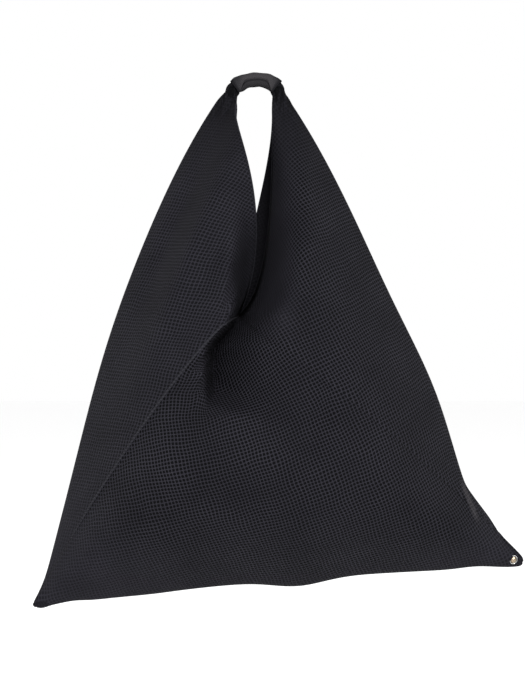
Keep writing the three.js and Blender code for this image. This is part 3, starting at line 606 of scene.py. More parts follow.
def thicken(piece: bpy.types.Object, thickness: float, offset: float = 0.0, inner_slot: int = 0) -> None:
    """Gives a sheet its thickness.

    Args:
        piece: the sheet.
        thickness: in millimetres.
        offset: -1 inwards, 0 both ways, 1 outwards.
        inner_slot: how many material slots further on the material of the inner skin is.
    """
    solid = piece.modifiers.new("Thickness", "SOLIDIFY")
    solid.thickness = thickness * MM
    solid.offset = offset
    solid.use_even_offset = False
    solid.material_offset = inner_slot


@dataclass(frozen=True)
class Strand:
    """A closed strand of oval section along a line, in millimetres.

    middle, side and out have a row for each station: its point, and the directions of its width and its
    depth. half_width and half_depth are the half sizes of the section at the stations.
    """

    middle: Array
    side: Array
    out: Array
    half_width: Array
    half_depth: Array
    sides: int = 14
    pleats: int = 0
    pleat_depth: float = 0.0

    def build(self, name: str, material: bpy.types.Material) -> bpy.types.Object:
        """The strand as an object, with both ends closed."""
        bm = self.surface()
        bmesh.ops.remove_doubles(bm, verts=bm.verts, dist=2e-6)
        bmesh.ops.holes_fill(bm, edges=[edge for edge in bm.edges if edge.is_boundary], sides=0)
        piece = make_object(name, bm, material)
        lengths = np.linalg.norm(np.diff(self.middle, axis=0), axis=1)
        run = np.concatenate([[0], np.cumsum(lengths)]) * MM
        girth = 2 * math.pi * float(np.mean(self.half_width)) * MM
        stations = np.linspace(0, 1, len(run))
        lay_out(piece.data, lambda u, v: np.stack([np.interp(v, stations, run), u * girth], -1))
        return piece

    def surface(self) -> bmesh.types.BMesh:
        """The open skin of the strand."""
        count = len(self.middle)

        def place(a: Array, b: Array) -> Array:
            i = np.rint((b + 1) / 2 * (count - 1)).astype(int)
            turn = math.pi * a
            size = 1 - self.pleat_depth * (0.5 - 0.5 * np.cos(self.pleats * turn))
            width = (self.half_width[i] * size * np.cos(turn))[:, None] * self.side[i]
            depth = (self.half_depth[i] * size * np.sin(turn))[:, None] * self.out[i]
            return self.middle[i] + width + depth

        return mapped_grid(self.sides, count - 1, place)


# ---------------------------------------------------------------- materials


class Graph:
    """Builds the nodes of one tree, with numbers or sockets as inputs."""

    def __init__(self, tree: bpy.types.NodeTree) -> None:
        """Starts on a tree of nodes."""
        self.tree = tree

    def add(self, kind: str, inputs: dict | None = None, **settings: object) -> bpy.types.Node:
        """A node with its settings, and with values or links for its inputs."""
        node = self.tree.nodes.new(kind)
        for name, value in settings.items():
            setattr(node, name, value)
        for key, value in (inputs or {}).items():
            if isinstance(value, bpy.types.NodeSocket):
                self.tree.links.new(value, node.inputs[key])
            else:
                node.inputs[key].default_value = value
        return node

    def math(self, operation: str, *values: object) -> bpy.types.NodeSocket:
        """The result of a Math node."""
        return self.add("ShaderNodeMath", dict(enumerate(values)), operation=operation).outputs[0]

    def vector(self, operation: str, first: object, second: object, output: str = "Vector") -> object:
        """The result of a Vector Math node with two vectors."""
        node = self.add("ShaderNodeVectorMath", {0: first, 1: second}, operation=operation)
        return node.outputs[output]

    def split(self, vector: object) -> bpy.types.NodeOutputs:
        """The three parts of a vector."""
        return self.add("ShaderNodeSeparateXYZ", {"Vector": vector}).outputs

    def off(self, value: object, middle: float) -> bpy.types.NodeSocket:
        """How far a value is from a middle, either way."""
        return self.math("ABSOLUTE", self.math("SUBTRACT", value, middle))

    def ease(self, value: object, start: float, end: float) -> bpy.types.NodeSocket:
        """A smooth rise from 0 at start to 1 at end."""
        inputs = {"Value": value, "From Min": start, "From Max": end}
        return self.add("ShaderNodeMapRange", inputs, interpolation_type="SMOOTHSTEP").outputs["Result"]

    def blend(self, share: object, first: object, second: object) -> bpy.types.NodeSocket:
        """A colour that goes from the first to the second."""
        node = self.add("ShaderNodeMix", {"Factor": share}, data_type="RGBA")
        for index, value in ((6, first), (7, second)):
            if isinstance(value, bpy.types.NodeSocket):
                self.tree.links.new(value, node.inputs[index])
            else:
                node.inputs[index].default_value = value
        return node.outputs[2]

    def noise(self, vector: object, scale: float, detail: float = 2.0) -> bpy.types.NodeSocket:
        """The value of a noise texture."""
        inputs = {"Vector": vector, "Scale": scale, "Detail": detail}
        return self.add("ShaderNodeTexNoise", inputs).outputs[0]


def node_group(
    name: str, inputs: dict, outputs: dict, fill: Callable[[Graph, dict], dict]
) -> bpy.types.NodeTree:
    """A shader node group.

    Args:
        name: the group's name.
        inputs: the kind and the value of each input.
        outputs: the kind of each output.
        fill: makes the nodes from the input sockets, and gives the socket of each output.

    Returns:
        The group's tree.
    """
    tree = bpy.data.node_groups.new(name, "ShaderNodeTree")
    for key, (kind, value) in inputs.items():
        made = tree.interface.new_socket(key, in_out="INPUT", socket_type=kind)
        if value is not None:
            made.default_value = value
    for key, kind in outputs.items():
        tree.interface.new_socket(key, in_out="OUTPUT", socket_type=kind)
    graph = Graph(tree)
    source = graph.add("NodeGroupInput")
    graph.add("NodeGroupOutput", fill(graph, source.outputs))
    return tree


FLOAT, VECTOR = "NodeSocketFloat", "NodeSocketVector"


@dataclass(frozen=True)
class Holes:
    """Square holes with round corners in a grid of threads; edge and crown are shares of a cell."""

    roundness: float = 3.2
    edge: tuple[float, float] = (0.29, 0.37)
    crown: tuple[float, float] = (0.24, 0.5)
    drift_scale: float = 26.0
    yarn_scale: float = 1900.0
    yarn_height: float = 0.25
    tone_scale: float = 17.0

    def fill(self, graph: Graph, given: dict) -> dict:
        """Makes the nodes, on a UV map in metres."""
        inputs = {"Vector": given["Place"], "Scale": self.drift_scale, "Detail": 1.0}
        drift = graph.add("ShaderNodeTexNoise", inputs).outputs["Color"]
        shift = graph.add("ShaderNodeVectorMath", {0: drift, "Scale": given["Drift"]}, operation="SCALE")
        moved = graph.vector("ADD", given["Place"], shift.outputs[0])
        parts = graph.split(moved)
        powers = []
        for axis in ("X", "Y"):
            cell = graph.math("FRACT", graph.math("DIVIDE", parts[axis], given["Pitch"]))
            powers.append(graph.math("POWER", graph.off(cell, 0.5), self.roundness))
        radius = graph.math("POWER", graph.math("ADD", *powers), 1 / self.roundness)
        yarn = graph.noise(moved, self.yarn_scale, 2.0)
        crown = graph.ease(radius, *self.crown)
        return {
            "Thread": graph.ease(radius, *self.edge),
            "Height": graph.math("ADD", crown, graph.math("MULTIPLY", yarn, self.yarn_height)),
            "Yarn": yarn,
            "Tone": graph.noise(given["Place"], self.tone_scale, 3.0),
        }


def fill_rib(graph: Graph, given: dict) -> dict:
    """The fine cross ribs of a rolled edge or a wrapped cord, along the first UV direction."""
    parts = graph.split(given["Place"])
    slant = graph.math("MULTIPLY_ADD", parts["Y"], given["Slant"], parts["X"])
    wave = graph.math("SINE", graph.math("MULTIPLY", slant, graph.math("DIVIDE", math.tau, given["Pitch"])))
    grain = graph.noise(given["Place"], 1500.0, 3.0)
    rib = graph.math("MULTIPLY_ADD", wave, 0.5, 0.5)
    return {"Rib": rib, "Grain": grain}


@dataclass(frozen=True)
class Pull:
    """Where the holes stand open, where shade is painted on the neck, and where a highlight is painted on the
    tucked ridge, in metres of its rest place.
    """

    # The slack middle, and how tight the cloth is outside it and on the roll of the right ear
    slack_middle: tuple = (0.05, 0.0, -0.33)
    slack_scale: tuple = (3.3, 0.0, 3.8)
    slack_edge: tuple = (0.8, 1.2)
    tight_share: float = 0.66
    roll_rise: tuple = (0.0, 0.012)
    roll_fall: tuple = (0.054, 0.030)
    roll_heights: tuple = (-0.30, -0.24)
    roll_share: float = 0.75
    # Painted shade: the neck darker, darkest at its end in the mouth, and darker along its pleats
    neck_shade_heights: tuple = (-0.13, -0.03)
    neck_shade_share: float = 0.4
    mouth_shade_heights: tuple = (-0.012, -0.001)
    mouth_shade_share: float = 0.3
    pleat_shade_scale: tuple = (420.0, 120.0, 26.0)
    pleat_shade_edge: tuple = (0.42, 0.56)
    pleat_shade_heights: tuple = (-0.05, -0.008)
    pleat_shade_share: float = 0.32
    # Painted highlight on the tucked ridge above the right corner: across it and along it, a direction, the
    # middle, the outer and the inner reach
    ridge_highlight_lines: tuple = (
        ((0.934, 0.0, 0.358), 0.0597, 0.0050, 0.0004),
        ((0.358, 0.0, -0.934), 0.5314, 0.031, 0.012),
    )
    ridge_highlight_depths: tuple = (0.012, 0.004)

    def fill(self, graph: Graph, given: dict) -> dict:
        """Makes the nodes, on the rest place."""
        place = given["Place"]
        shifted = graph.vector("SUBTRACT", place, self.slack_middle)
        scaled = graph.vector("MULTIPLY", shifted, self.slack_scale)
        radius = graph.add("ShaderNodeVectorMath", {0: scaled}, operation="LENGTH").outputs["Value"]
        parts = graph.split(place)
        across, height = parts["X"], parts["Z"]
        rolled = graph.ease(across, *self.roll_rise)
        rolled = graph.math("MULTIPLY", rolled, graph.ease(across, *self.roll_fall))
        rolled = graph.math("MULTIPLY", rolled, graph.ease(height, *self.roll_heights))
        outer = graph.math("MULTIPLY", graph.ease(radius, *self.slack_edge), self.tight_share)
        tight = graph.math("MAXIMUM", outer, graph.math("MULTIPLY", rolled, self.roll_share))
        # Painted shade on the neck, deepest in the mouth and along the pleats
        pleat_shade_streaks = graph.noise(graph.vector("MULTIPLY", place, self.pleat_shade_scale), 1.0, 1.0)
        pleat_shade_streaks = graph.ease(pleat_shade_streaks, *self.pleat_shade_edge)
        gathered = graph.math("MULTIPLY", graph.ease(height, *self.pleat_shade_heights), pleat_shade_streaks)
        neck = graph.math("MULTIPLY", graph.ease(height, *self.neck_shade_heights), self.neck_shade_share)
        neck = graph.math("MULTIPLY_ADD", graph.ease(height, *self.mouth_shade_heights), self.mouth_shade_share, neck)
        neck = graph.math("MULTIPLY_ADD", gathered, self.pleat_shade_share, neck)
        # Painted highlight: a share that pales the threads and shuts the holes on the front of the tucked
        # ridge
        lighter = graph.ease(parts["Y"], *self.ridge_highlight_depths)
        for way, middle, reach, core in self.ridge_highlight_lines:
            run = graph.vector("DOT_PRODUCT", place, way, "Value")
            lighter = graph.math("MULTIPLY", lighter, graph.ease(graph.off(run, middle), reach, core))
        return {"Open": graph.math("SUBTRACT", 1.0, tight), "Neck": neck, "RidgeHighlight": lighter}


@dataclass(frozen=True)
class SleevePaintedLight:
    """Where light and shade are painted on the sleeve, in metres across the picture, along the sleeve and
    round it.
    """

    # Painted light in the middle, painted shade towards the two mouths
    middle: float = 0.003
    ends: tuple = (0.013, 0.024)
    # Painted light on the lapped top band, painted shade on the band below
    lap: tuple = (-0.0012, 0.0002)
    # Painted shadow in the crease under the lap
    crease_shadow_at: float = -0.0011
    crease: tuple = (0.0002, 0.0010)
    crease_shadow_share: float = 0.75
    # Painted shade at the two rims
    half_length: float = 0.029
    rim: tuple = (0.0240, 0.0278)


# Pitch and depth of ribs, in metres
HEM_RIB = (0.0014, 0.00012)
GATHER_RIB = (0.0030, 0.0002)
RIDGE_RIB = (0.0042, 0.0003)
THREAD_RIB = (0.0020, 0.0002)


@dataclass(frozen=True)
class Palette:
    """Colours of the cloth and the metal, as linear red, green and blue."""

    thread: tuple = (0.0047, 0.0045, 0.0060, 1)
    thread_bright: tuple = (0.0108, 0.0104, 0.0134, 1)
    # The holes' colour: painted shade, over the dark inner layer seen through them
    hole_shade: tuple = (0.0004, 0.0004, 0.0006, 1)
    # The inner skin's colours: its plainer, darker face, darkened further as painted shade of the bag's
    # interior
    inside: tuple = (0.0022, 0.0021, 0.0028, 1)
    inside_bright: tuple = (0.0040, 0.0038, 0.0050, 1)
    dense: tuple = (0.0040, 0.0038, 0.0050, 1)
    # Painted shade: in the grooves of the gathered mesh's ribs, and in the sleeve's crease and at its rims
    dense_shade: tuple = (0.0014, 0.0013, 0.0018, 1)
    # A darker copy of the gathered mesh: painted shade on the core where it leaves the sleeve's mouths
    bundle: tuple = (0.0026, 0.0025, 0.0032, 1)
    bundle_shade: tuple = (0.0006, 0.0006, 0.0008, 1)
    hem: tuple = (0.0040, 0.0039, 0.0050, 1)
    hem_pale: tuple = (0.0074, 0.0071, 0.0090, 1)
    # Painted shade in the grooves of the ribs of hems and seams
    hem_groove: tuple = (0.0022, 0.0022, 0.0028, 1)
    # Sleeve: its top band paler as painted light, its band below and its mouths darker as painted shade, and
    # painted shade in its ribs
    sleeve: tuple = (0.0190, 0.0178, 0.0190, 1)
    sleeve_low: tuple = (0.0086, 0.0082, 0.0090, 1)
    sleeve_end: tuple = (0.0095, 0.0092, 0.0102, 1)
    sleeve_shade: tuple = (0.0040, 0.0039, 0.0044, 1)
    seam: tuple = (0.0100, 0.0098, 0.0120, 1)
    seam_thread: tuple = (0.0165, 0.0160, 0.0190, 1)
    silver: tuple = (0.135, 0.135, 0.131, 1)
    brass: tuple = (0.125, 0.099, 0.070, 1)


class Look:
    """Makes the materials of the bag, each once."""

    def __init__(self, palette: Palette = Palette()) -> None:
        """Builds the shared node groups, then the materials."""
        self.palette = palette
        self.lattice = node_group(
            "Hole lattice",
            {"Place": (VECTOR, None), "Pitch": (FLOAT, 0.0039), "Drift": (FLOAT, 0.006)},
            {"Thread": FLOAT, "Height": FLOAT, "Yarn": FLOAT, "Tone": FLOAT},
            Holes().fill,
        )
        self.ribs = node_group(
            "Cross ribs",
            {"Place": (VECTOR, None), "Pitch": (FLOAT, 0.0012), "Slant": (FLOAT, 0.35)},
            {"Rib": FLOAT, "Grain": FLOAT},
            fill_rib,
        )
        # The pull group gives how far the holes open, the painted shade of the neck and the painted highlight
        # of the tucked ridge
        self.pull = node_group(
            "Pull of the cloth",
            {"Place": (VECTOR, None)},
            {"Open": FLOAT, "Neck": FLOAT, "RidgeHighlight": FLOAT},
            Pull().fill,
        )
        self.mesh = self.mesh_cloth("Open-hole mesh", palette.thread, palette.thread_bright, 1.0)
        self.mesh_left = self.mesh_cloth("Open-hole mesh, taut", palette.thread, palette.thread_bright, 0.75)
        # The inner skin: a darker, plainer copy of the mesh, partly its own face and partly painted shade of
        # the interior
        self.inside = self.mesh_cloth("Open-hole mesh, inside", palette.inside, palette.inside_bright, 0.5)
        groove = palette.hem_groove
        self.hem = self.ribbed("Rolled hem", palette.hem, groove, HEM_RIB)
        # A paler copy of the rolled hem, for the left ear's front hem
        self.hem_pale = self.ribbed("Rolled hem, rubbed", palette.hem_pale, groove, HEM_RIB)
        self.dense = self.ribbed("Gathered mesh", palette.dense, palette.dense_shade, GATHER_RIB)
        # A darker copy of the gathered mesh: painted shade on the core where it leaves the sleeve's mouths
        self.bundle = self.ribbed("Gathered mesh, shaded", palette.bundle, palette.bundle_shade, GATHER_RIB)
        self.ridge = self.ribbed("Seam ridge", palette.seam, groove, RIDGE_RIB)
        self.seam = self.ribbed("Seam thread", palette.seam_thread, groove, THREAD_RIB)
        self.sleeve = self.sleeve_cloth()
        self.silver = self.metal("Stud silver", palette.silver, 0.22)
        self.brass = self.metal("Stud brass", palette.brass, 0.3)

    def start(self, name: str) -> tuple[bpy.types.Material, Graph, bpy.types.Node]:
        """A material with its graph and its shader, which has the finish of dull cloth."""
        material = bpy.data.materials.new(name)
        material.use_nodes = True
        graph = Graph(material.node_tree)
        shader = material.node_tree.nodes["Principled BSDF"]
        shader.inputs["Roughness"].default_value = 0.85
        shader.inputs["Specular IOR Level"].default_value = 0.03
        return material, graph, shader

    def group(self, graph: Graph, tree: bpy.types.NodeTree, **values: float) -> bpy.types.Node:
        """A use of a node group on the piece's UV map."""
        place = graph.add("ShaderNodeUVMap", uv_map="UVMap").outputs["UV"]
        node = graph.add("ShaderNodeGroup", node_tree=tree)
        graph.tree.links.new(place, node.inputs["Place"])
        for key, value in values.items():
            node.inputs[key].default_value = value
        return node

    def connect_bump(self, graph: Graph, shader: bpy.types.Node, height: object, distance: float) -> None:
        """Gives the shader a bump of a height in metres."""
        bump = graph.add("ShaderNodeBump", {"Height": height, "Distance": distance})
        graph.tree.links.new(bump.outputs["Normal"], shader.inputs["Normal"])

    def mesh_cloth(self, name: str, dull: tuple, bright: tuple, openness: float) -> bpy.types.Material:
        """The open-hole mesh: pale threads round holes that are dark with painted shade.

        Args:
            name: the material's name.
            dull: colour of the darker threads.
            bright: colour of the paler threads.
            openness: how far the holes stand open where nothing pulls at the cloth.
        """
        material, graph, shader = self.start(name)
        lattice = self.group(graph, self.lattice)
        place = graph.add("ShaderNodeAttribute", attribute_name=REST_PLACE).outputs["Vector"]
        pull = graph.add("ShaderNodeGroup", node_tree=self.pull)
        graph.tree.links.new(place, pull.inputs["Place"])
        # Painted highlight on the tucked ridge: its holes are drawn shut
        shut = graph.math("MULTIPLY_ADD", pull.outputs["RidgeHighlight"], -0.85, 1.0)
        opened = graph.math("MULTIPLY", graph.math("MULTIPLY", pull.outputs["Open"], openness), shut)
        tight = graph.math("SUBTRACT", 1.0, opened)
        tone = graph.math("SUBTRACT", lattice.outputs["Tone"], 0.5)
        share = graph.math("MULTIPLY_ADD", lattice.outputs["Yarn"], 0.7, tone)
        # Threads are dimmed towards the holes' colour where the cloth is tight, and more by the painted shade
        # of the neck
        dim = graph.math("MULTIPLY_ADD", tight, 0.3, pull.outputs["Neck"])
        thread = graph.blend(dim, graph.blend(share, dull, bright), self.palette.hole_shade)
        # Painted highlight on the tucked ridge: the threads are paled towards the sleeve's colour
        lighter = graph.math("MULTIPLY", pull.outputs["RidgeHighlight"], 0.55)
        thread = graph.blend(lighter, thread, self.palette.sleeve)
        # The holes: painted shade, filled partly with thread colour where the cloth is tight
        hole_shade = graph.blend(graph.math("MULTIPLY", tight, 0.62), self.palette.hole_shade, thread)
        colour = graph.blend(lattice.outputs["Thread"], hole_shade, thread)
        graph.tree.links.new(colour, shader.inputs["Base Color"])
        self.connect_bump(graph, shader, graph.math("MULTIPLY", lattice.outputs["Height"], opened), 0.0011)
        return material

    def ribbed(self, name: str, colour: tuple, groove: tuple, rib: tuple[float, float]) -> bpy.types.Material:
        """A cloth or thread with fine cross ribs of a pitch and a depth, with painted shade in the grooves
        between them mixed with random grain.
        """
        pitch, depth = rib
        material, graph, shader = self.start(name)
        ribs = self.group(graph, self.ribs, Pitch=pitch)
        ridges = graph.math("MULTIPLY", ribs.outputs["Rib"], 0.6)
        share = graph.math("MULTIPLY_ADD", ribs.outputs["Grain"], 0.6, ridges)
        # Painted shade in the rib grooves, mixed with random grain
        graph.tree.links.new(graph.blend(share, groove, colour), shader.inputs["Base Color"])
        self.connect_bump(graph, shader, ribs.outputs["Rib"], depth)
        return material

    def sleeve_cloth(self, bands: SleevePaintedLight = SleevePaintedLight()) -> bpy.types.Material:
        """Fine plain cloth with painted light and shade: paler on the lapped-over top band, darker towards
        the mouths, with a painted shadow in its crease and painted shade at its two rims.
        """
        palette = self.palette
        material, graph, shader = self.start("Sleeve cloth")
        ribs = self.group(graph, self.ribs, Pitch=0.0007)
        across = graph.split(graph.add("ShaderNodeTexCoord").outputs["Object"])["X"]
        # Painted shade towards the two mouths
        ends = graph.ease(graph.off(across, bands.middle), *bands.ends)
        along, around = graph.split(graph.add("ShaderNodeUVMap", uv_map="UVMap").outputs["UV"])[:2]
        # Painted light on the lapped top band, painted shade on the band below
        band = graph.blend(graph.ease(around, *bands.lap), palette.sleeve_low, palette.sleeve)
        cloth = graph.blend(ends, band, palette.sleeve_end)
        # Painted shadow in the crease under the lap
        crease = graph.math("SUBTRACT", 1.0, graph.ease(graph.off(around, bands.crease_shadow_at), *bands.crease))
        cloth = graph.blend(graph.math("MULTIPLY", crease, bands.crease_shadow_share), cloth, palette.dense_shade)
        # Painted shade at the two rims
        rim = graph.ease(graph.off(along, bands.half_length), *bands.rim)
        cloth = graph.blend(rim, cloth, palette.dense_shade)
        # Painted shade in the grooves of the fine ribs, mixed with random grain
        ridges = graph.math("MULTIPLY", ribs.outputs["Rib"], 0.4)
        share = graph.math("MULTIPLY_ADD", ribs.outputs["Grain"], 0.7, ridges)
        graph.tree.links.new(graph.blend(share, palette.sleeve_shade, cloth), shader.inputs["Base Color"])
        self.connect_bump(graph, shader, ribs.outputs["Grain"], 0.00006)
        return material

    def metal(self, name: str, colour: tuple, roughness: float) -> bpy.types.Material:
        """A worn polished metal."""
        material, graph, shader = self.start(name)
        shader.inputs["Metallic"].default_value = 1.0
        shader.inputs["Base Color"].default_value = colour
        place = graph.add("ShaderNodeTexCoord").outputs["Object"]
        worn = graph.math("MULTIPLY_ADD", graph.noise(place, 900.0, 3.0), 0.25, roughness - 0.1)
        graph.tree.links.new(worn, shader.inputs["Roughness"])
        return material


# ---------------------------------------------------------------- the cloth and what is sewn on it


class Lattice:
    """The flat plan of the whole strip, from which every square takes its UV map."""

    COLUMNS = 28
    ROWS = 30
    ROW_LEAN = math.radians(18)
    LEFT_ROWS = math.radians(86)
    TRUE_AT = (Square.BASE, 0.5, -0.42)
    LEFT_AT = (Square.LEFT_EAR, 0.55, -0.45)

    def __init__(self, strip: FoldedStrip) -> None:
        """Unwraps a coarse copy of the strip that is cut along its two sewn seams."""
        self.strip = strip
        self.w = np.linspace(-1, 1, self.COLUMNS + 1)
        self.t = np.linspace(0, 1, self.ROWS + 1)
        self.plan = {}
        piece = self.coarse_strip()
        self.unwrap(piece)
        self.read_back(piece)
        bpy.data.objects.remove(piece, do_unlink=True)
        self.true_up()
        self.slant_left_ear()

    def end_of(self, square: Square) -> float:
        """The largest t of a square."""
        return 1.0 if square is Square.BASE else self.strip.NECK_END

    def coarse_strip(self) -> bpy.types.Object:
        """The three squares as one welded mesh, with each corner's place in a second UV map."""
        whole = bmesh.new()
        for name in ("UVMap", "Place"):
            whole.loops.layers.uv.new(name)
        for index, square in enumerate(Square):
            end = self.end_of(square)
            part = mapped_grid(
                self.COLUMNS, self.ROWS, lambda a, b: self.strip.point(square, (b + 1) / 2 * end, a)
            )
            for face in part.faces:
                face.material_index = index
            absorb(whole, part)
        flat, place = whole.loops.layers.uv["UVMap"], whole.loops.layers.uv["Place"]
        for face in whole.faces:
            for loop in face.loops:
                loop[place].uv = loop[flat].uv
        bmesh.ops.remove_doubles(whole, verts=whole.verts, dist=1e-5)
        for edge in whole.edges:
            edge.seam = self.is_sewn(edge, place)
        mesh = bpy.data.meshes.new("coarse")
        whole.to_mesh(mesh)
        whole.free()
        piece = bpy.data.objects.new("coarse", mesh)
        bpy.context.scene.collection.objects.link(piece)
        return piece

    def is_sewn(self, edge: bmesh.types.BMEdge, place: object) -> bool:
        """True on the two lines where the strip is sewn to itself."""
        if len(edge.link_faces) != 2:
            return False
        pair = {tuple(Square)[face.material_index] for face in edge.link_faces}
        if len(pair) < 2:
            return False
        is_front = all(np.mean([loop[place].uv.x for loop in face.loops]) < 0.5 for face in edge.link_faces)
        return pair == ({Square.LEFT_EAR, Square.BASE} if is_front else {Square.RIGHT_EAR, Square.BASE})

    def unwrap(self, piece: bpy.types.Object) -> None:
        """Lays the cut strip flat with the least stretch."""
        bpy.context.view_layer.objects.active = piece
        bpy.ops.object.mode_set(mode="EDIT")
        bpy.ops.mesh.select_all(action="SELECT")
        piece.data.uv_layers.active = piece.data.uv_layers["UVMap"]
        bpy.ops.uv.unwrap(method="MINIMUM_STRETCH", iterations=30)
        bpy.ops.object.mode_set(mode="OBJECT")

    def read_back(self, piece: bpy.types.Object) -> None:
        """Fills the table of flat places, in metres, of the grid points of each square."""
        mesh = piece.data
        count = len(mesh.loops)
        flat, place = np.empty(2 * count), np.empty(2 * count)
        mesh.uv_layers["UVMap"].data.foreach_get("uv", flat)
        mesh.uv_layers["Place"].data.foreach_get("uv", place)
        flat, place = flat.reshape(-1, 2), place.reshape(-1, 2)
        area_flat = area_true = 0.0
        for face in mesh.polygons:
            ring = flat[list(face.loop_indices)]
            after = np.roll(ring, -1, axis=0)
            area_flat += abs(np.sum(ring[:, 0] * after[:, 1] - ring[:, 1] * after[:, 0])) / 2
            area_true += face.area
            i = np.rint(place[list(face.loop_indices)] * [self.COLUMNS, self.ROWS]).astype(int)
            square = tuple(Square)[face.material_index]
            table = self.plan.setdefault(square, np.full((self.ROWS + 1, self.COLUMNS + 1, 2), np.nan))
            table[i[:, 1], i[:, 0]] = ring
        scale = math.sqrt(area_true / area_flat)
        for square, table in self.plan.items():
            for row in table:
                for axis in range(2):
                    known = ~np.isnan(row[:, axis])
                    row[:, axis] = np.interp(self.w, self.w[known], row[known, axis])
            table *= scale
        log.info("lattice: flat strip of %.3f square metres", area_true)

    def at(self, square: Square, t: Array, w: Array) -> Array:
        """The flat place, in metres, of points of a square."""
        table = self.plan[square]
        column = np.clip((w + 1) / 2 * self.COLUMNS, 0, self.COLUMNS - 1e-6)
        row = np.clip(t / self.end_of(square) * self.ROWS, 0, self.ROWS - 1e-6)
        i, j = column.astype(int), row.astype(int)
        a, b = (column - i)[..., None], (row - j)[..., None]
        low = table[j, i] * (1 - a) + table[j, i + 1] * a
        high = table[j + 1, i] * (1 - a) + table[j + 1, i + 1] * a
        return low * (1 - b) + high * b

    def slopes(self, square: Square, t: float, w: float, step: float = 0.04) -> Array:
        """How the flat plan changes with x and z of the picture plane, at a place of a square."""
        t, w = np.array(t), np.array(w)
        pair = []
        for sample in (self.at, lambda q, a, b: self.strip.point(q, a, b)[..., ::2]):
            along = sample(square, t + step, w) - sample(square, t - step, w)
            across = sample(square, t, w + step) - sample(square, t, w - step)
            pair.append(np.stack([along, across], -1))
        return pair[0] @ np.linalg.inv(pair[1])

    def true_up(self) -> None:
        """Turns the flat plan so that the rows of holes lean as they do at the middle of the base."""
        row = self.slopes(*self.TRUE_AT) @ np.array([math.cos(self.ROW_LEAN), math.sin(self.ROW_LEAN)])
        turn = -math.atan2(row[1], row[0])
        spin = np.array([[math.cos(turn), -math.sin(turn)], [math.sin(turn), math.cos(turn)]])
        for square in self.plan:
            self.plan[square] = self.plan[square] @ spin.T

    def slant_left_ear(self) -> None:
        """Shears the left ear's plan, so that its rows lie as nearly level as they hang."""
        table = self.plan[Square.LEFT_EAR]
        slopes = self.slopes(*self.LEFT_AT)
        rows = int(np.argmax(np.abs(slopes[:, 1]) / np.linalg.norm(slopes, axis=1)))
        level = np.array([math.cos(self.LEFT_ROWS), math.sin(self.LEFT_ROWS)])
        cross = slopes @ np.array([-level[1], level[0]])
        shear = -cross[rows] / cross[1 - rows]
        # The back of the ear stays as it is near its join with the base
        held = smoothstep(-0.1, 0.6, self.w)[None, :] * (1 - smoothstep(0.0, 0.5, self.t))[:, None]
        other = table[..., 1 - rows]
        table[..., rows] += shear * (1 - held) * (other - other[self.ROWS // 2, self.COLUMNS // 4])
        log.info("lattice: left ear sheared by %.2f", shear)


@dataclass(frozen=True)
class ClothPiece:
    """One square of the strip as a sheet of mesh."""

    FRONT_Y = -0.03

    strip: FoldedStrip
    lattice: Lattice
    square: Square
    columns: int
    rows: int
    replaces: tuple[str, ...]
    flat: tuple[float, float] = (0.46, 0.46)
    thickness: float = 2.0
    crowding: float = 1.35

    def build(self, look: Look) -> bpy.types.Object:
        """The sheet as an object."""
        end = self.lattice.end_of(self.square)
        across = lambda a: np.sign(a) * np.abs(a) ** self.crowding
        bm = mapped_grid(
            self.columns, self.rows, lambda a, b: self.strip.point(self.square, (b + 1) / 2 * end, across(a))
        )
        outside = look.mesh_left if self.square is Square.LEFT_EAR else look.mesh
        piece = make_object(f"{self.square.value}_cloth", bm, outside)
        # The inner skin takes the darker inside material, partly painted shade
        piece.data.materials.append(look.inside)
        front = [face for face in piece.data.polygons if face.center.y < self.FRONT_Y]
        if sum(face.normal.y * face.area for face in front) > 0:
            piece.data.flip_normals()
        lay_out(piece.data, lambda u, v: self.lattice.at(self.square, v * end, across(2 * u - 1)))
        keep_rest_place(piece)
        thicken(piece, self.thickness, inner_slot=1)
        return piece


@dataclass(frozen=True)
class Hem:
    """The rolled edge of one side of the opening."""

    strip: FoldedStrip
    square: Square
    is_front: bool
    stations: int = 150
    half_width: float = 0.9
    half_depth: float = 1.3
    start: float = 0.004

    def build(self, look: Look) -> bpy.types.Object:
        """The hem as an object."""
        t = np.linspace(self.start, self.strip.NECK_END - 0.004, self.stations)
        w = np.full_like(t, -1.0 if self.is_front else 1.0)
        middle = self.strip.point(self.square, t, w)
        normal, along = self.strip.frame_at(self.square, t, w)
        side = unit(np.cross(along, normal))
        taper = smoothstep(0, 0.04, t) * 0.5 + 0.5
        strand = Strand(middle, side, normal, self.half_width * taper, self.half_depth * taper)
        face = "front" if self.is_front else "back"
        # The left ear's front hem takes the paler hem colour
        lighter = self.is_front and self.square is Square.LEFT_EAR
        return strand.build(f"{self.square.value}_{face}_hem", look.hem_pale if lighter else look.hem)


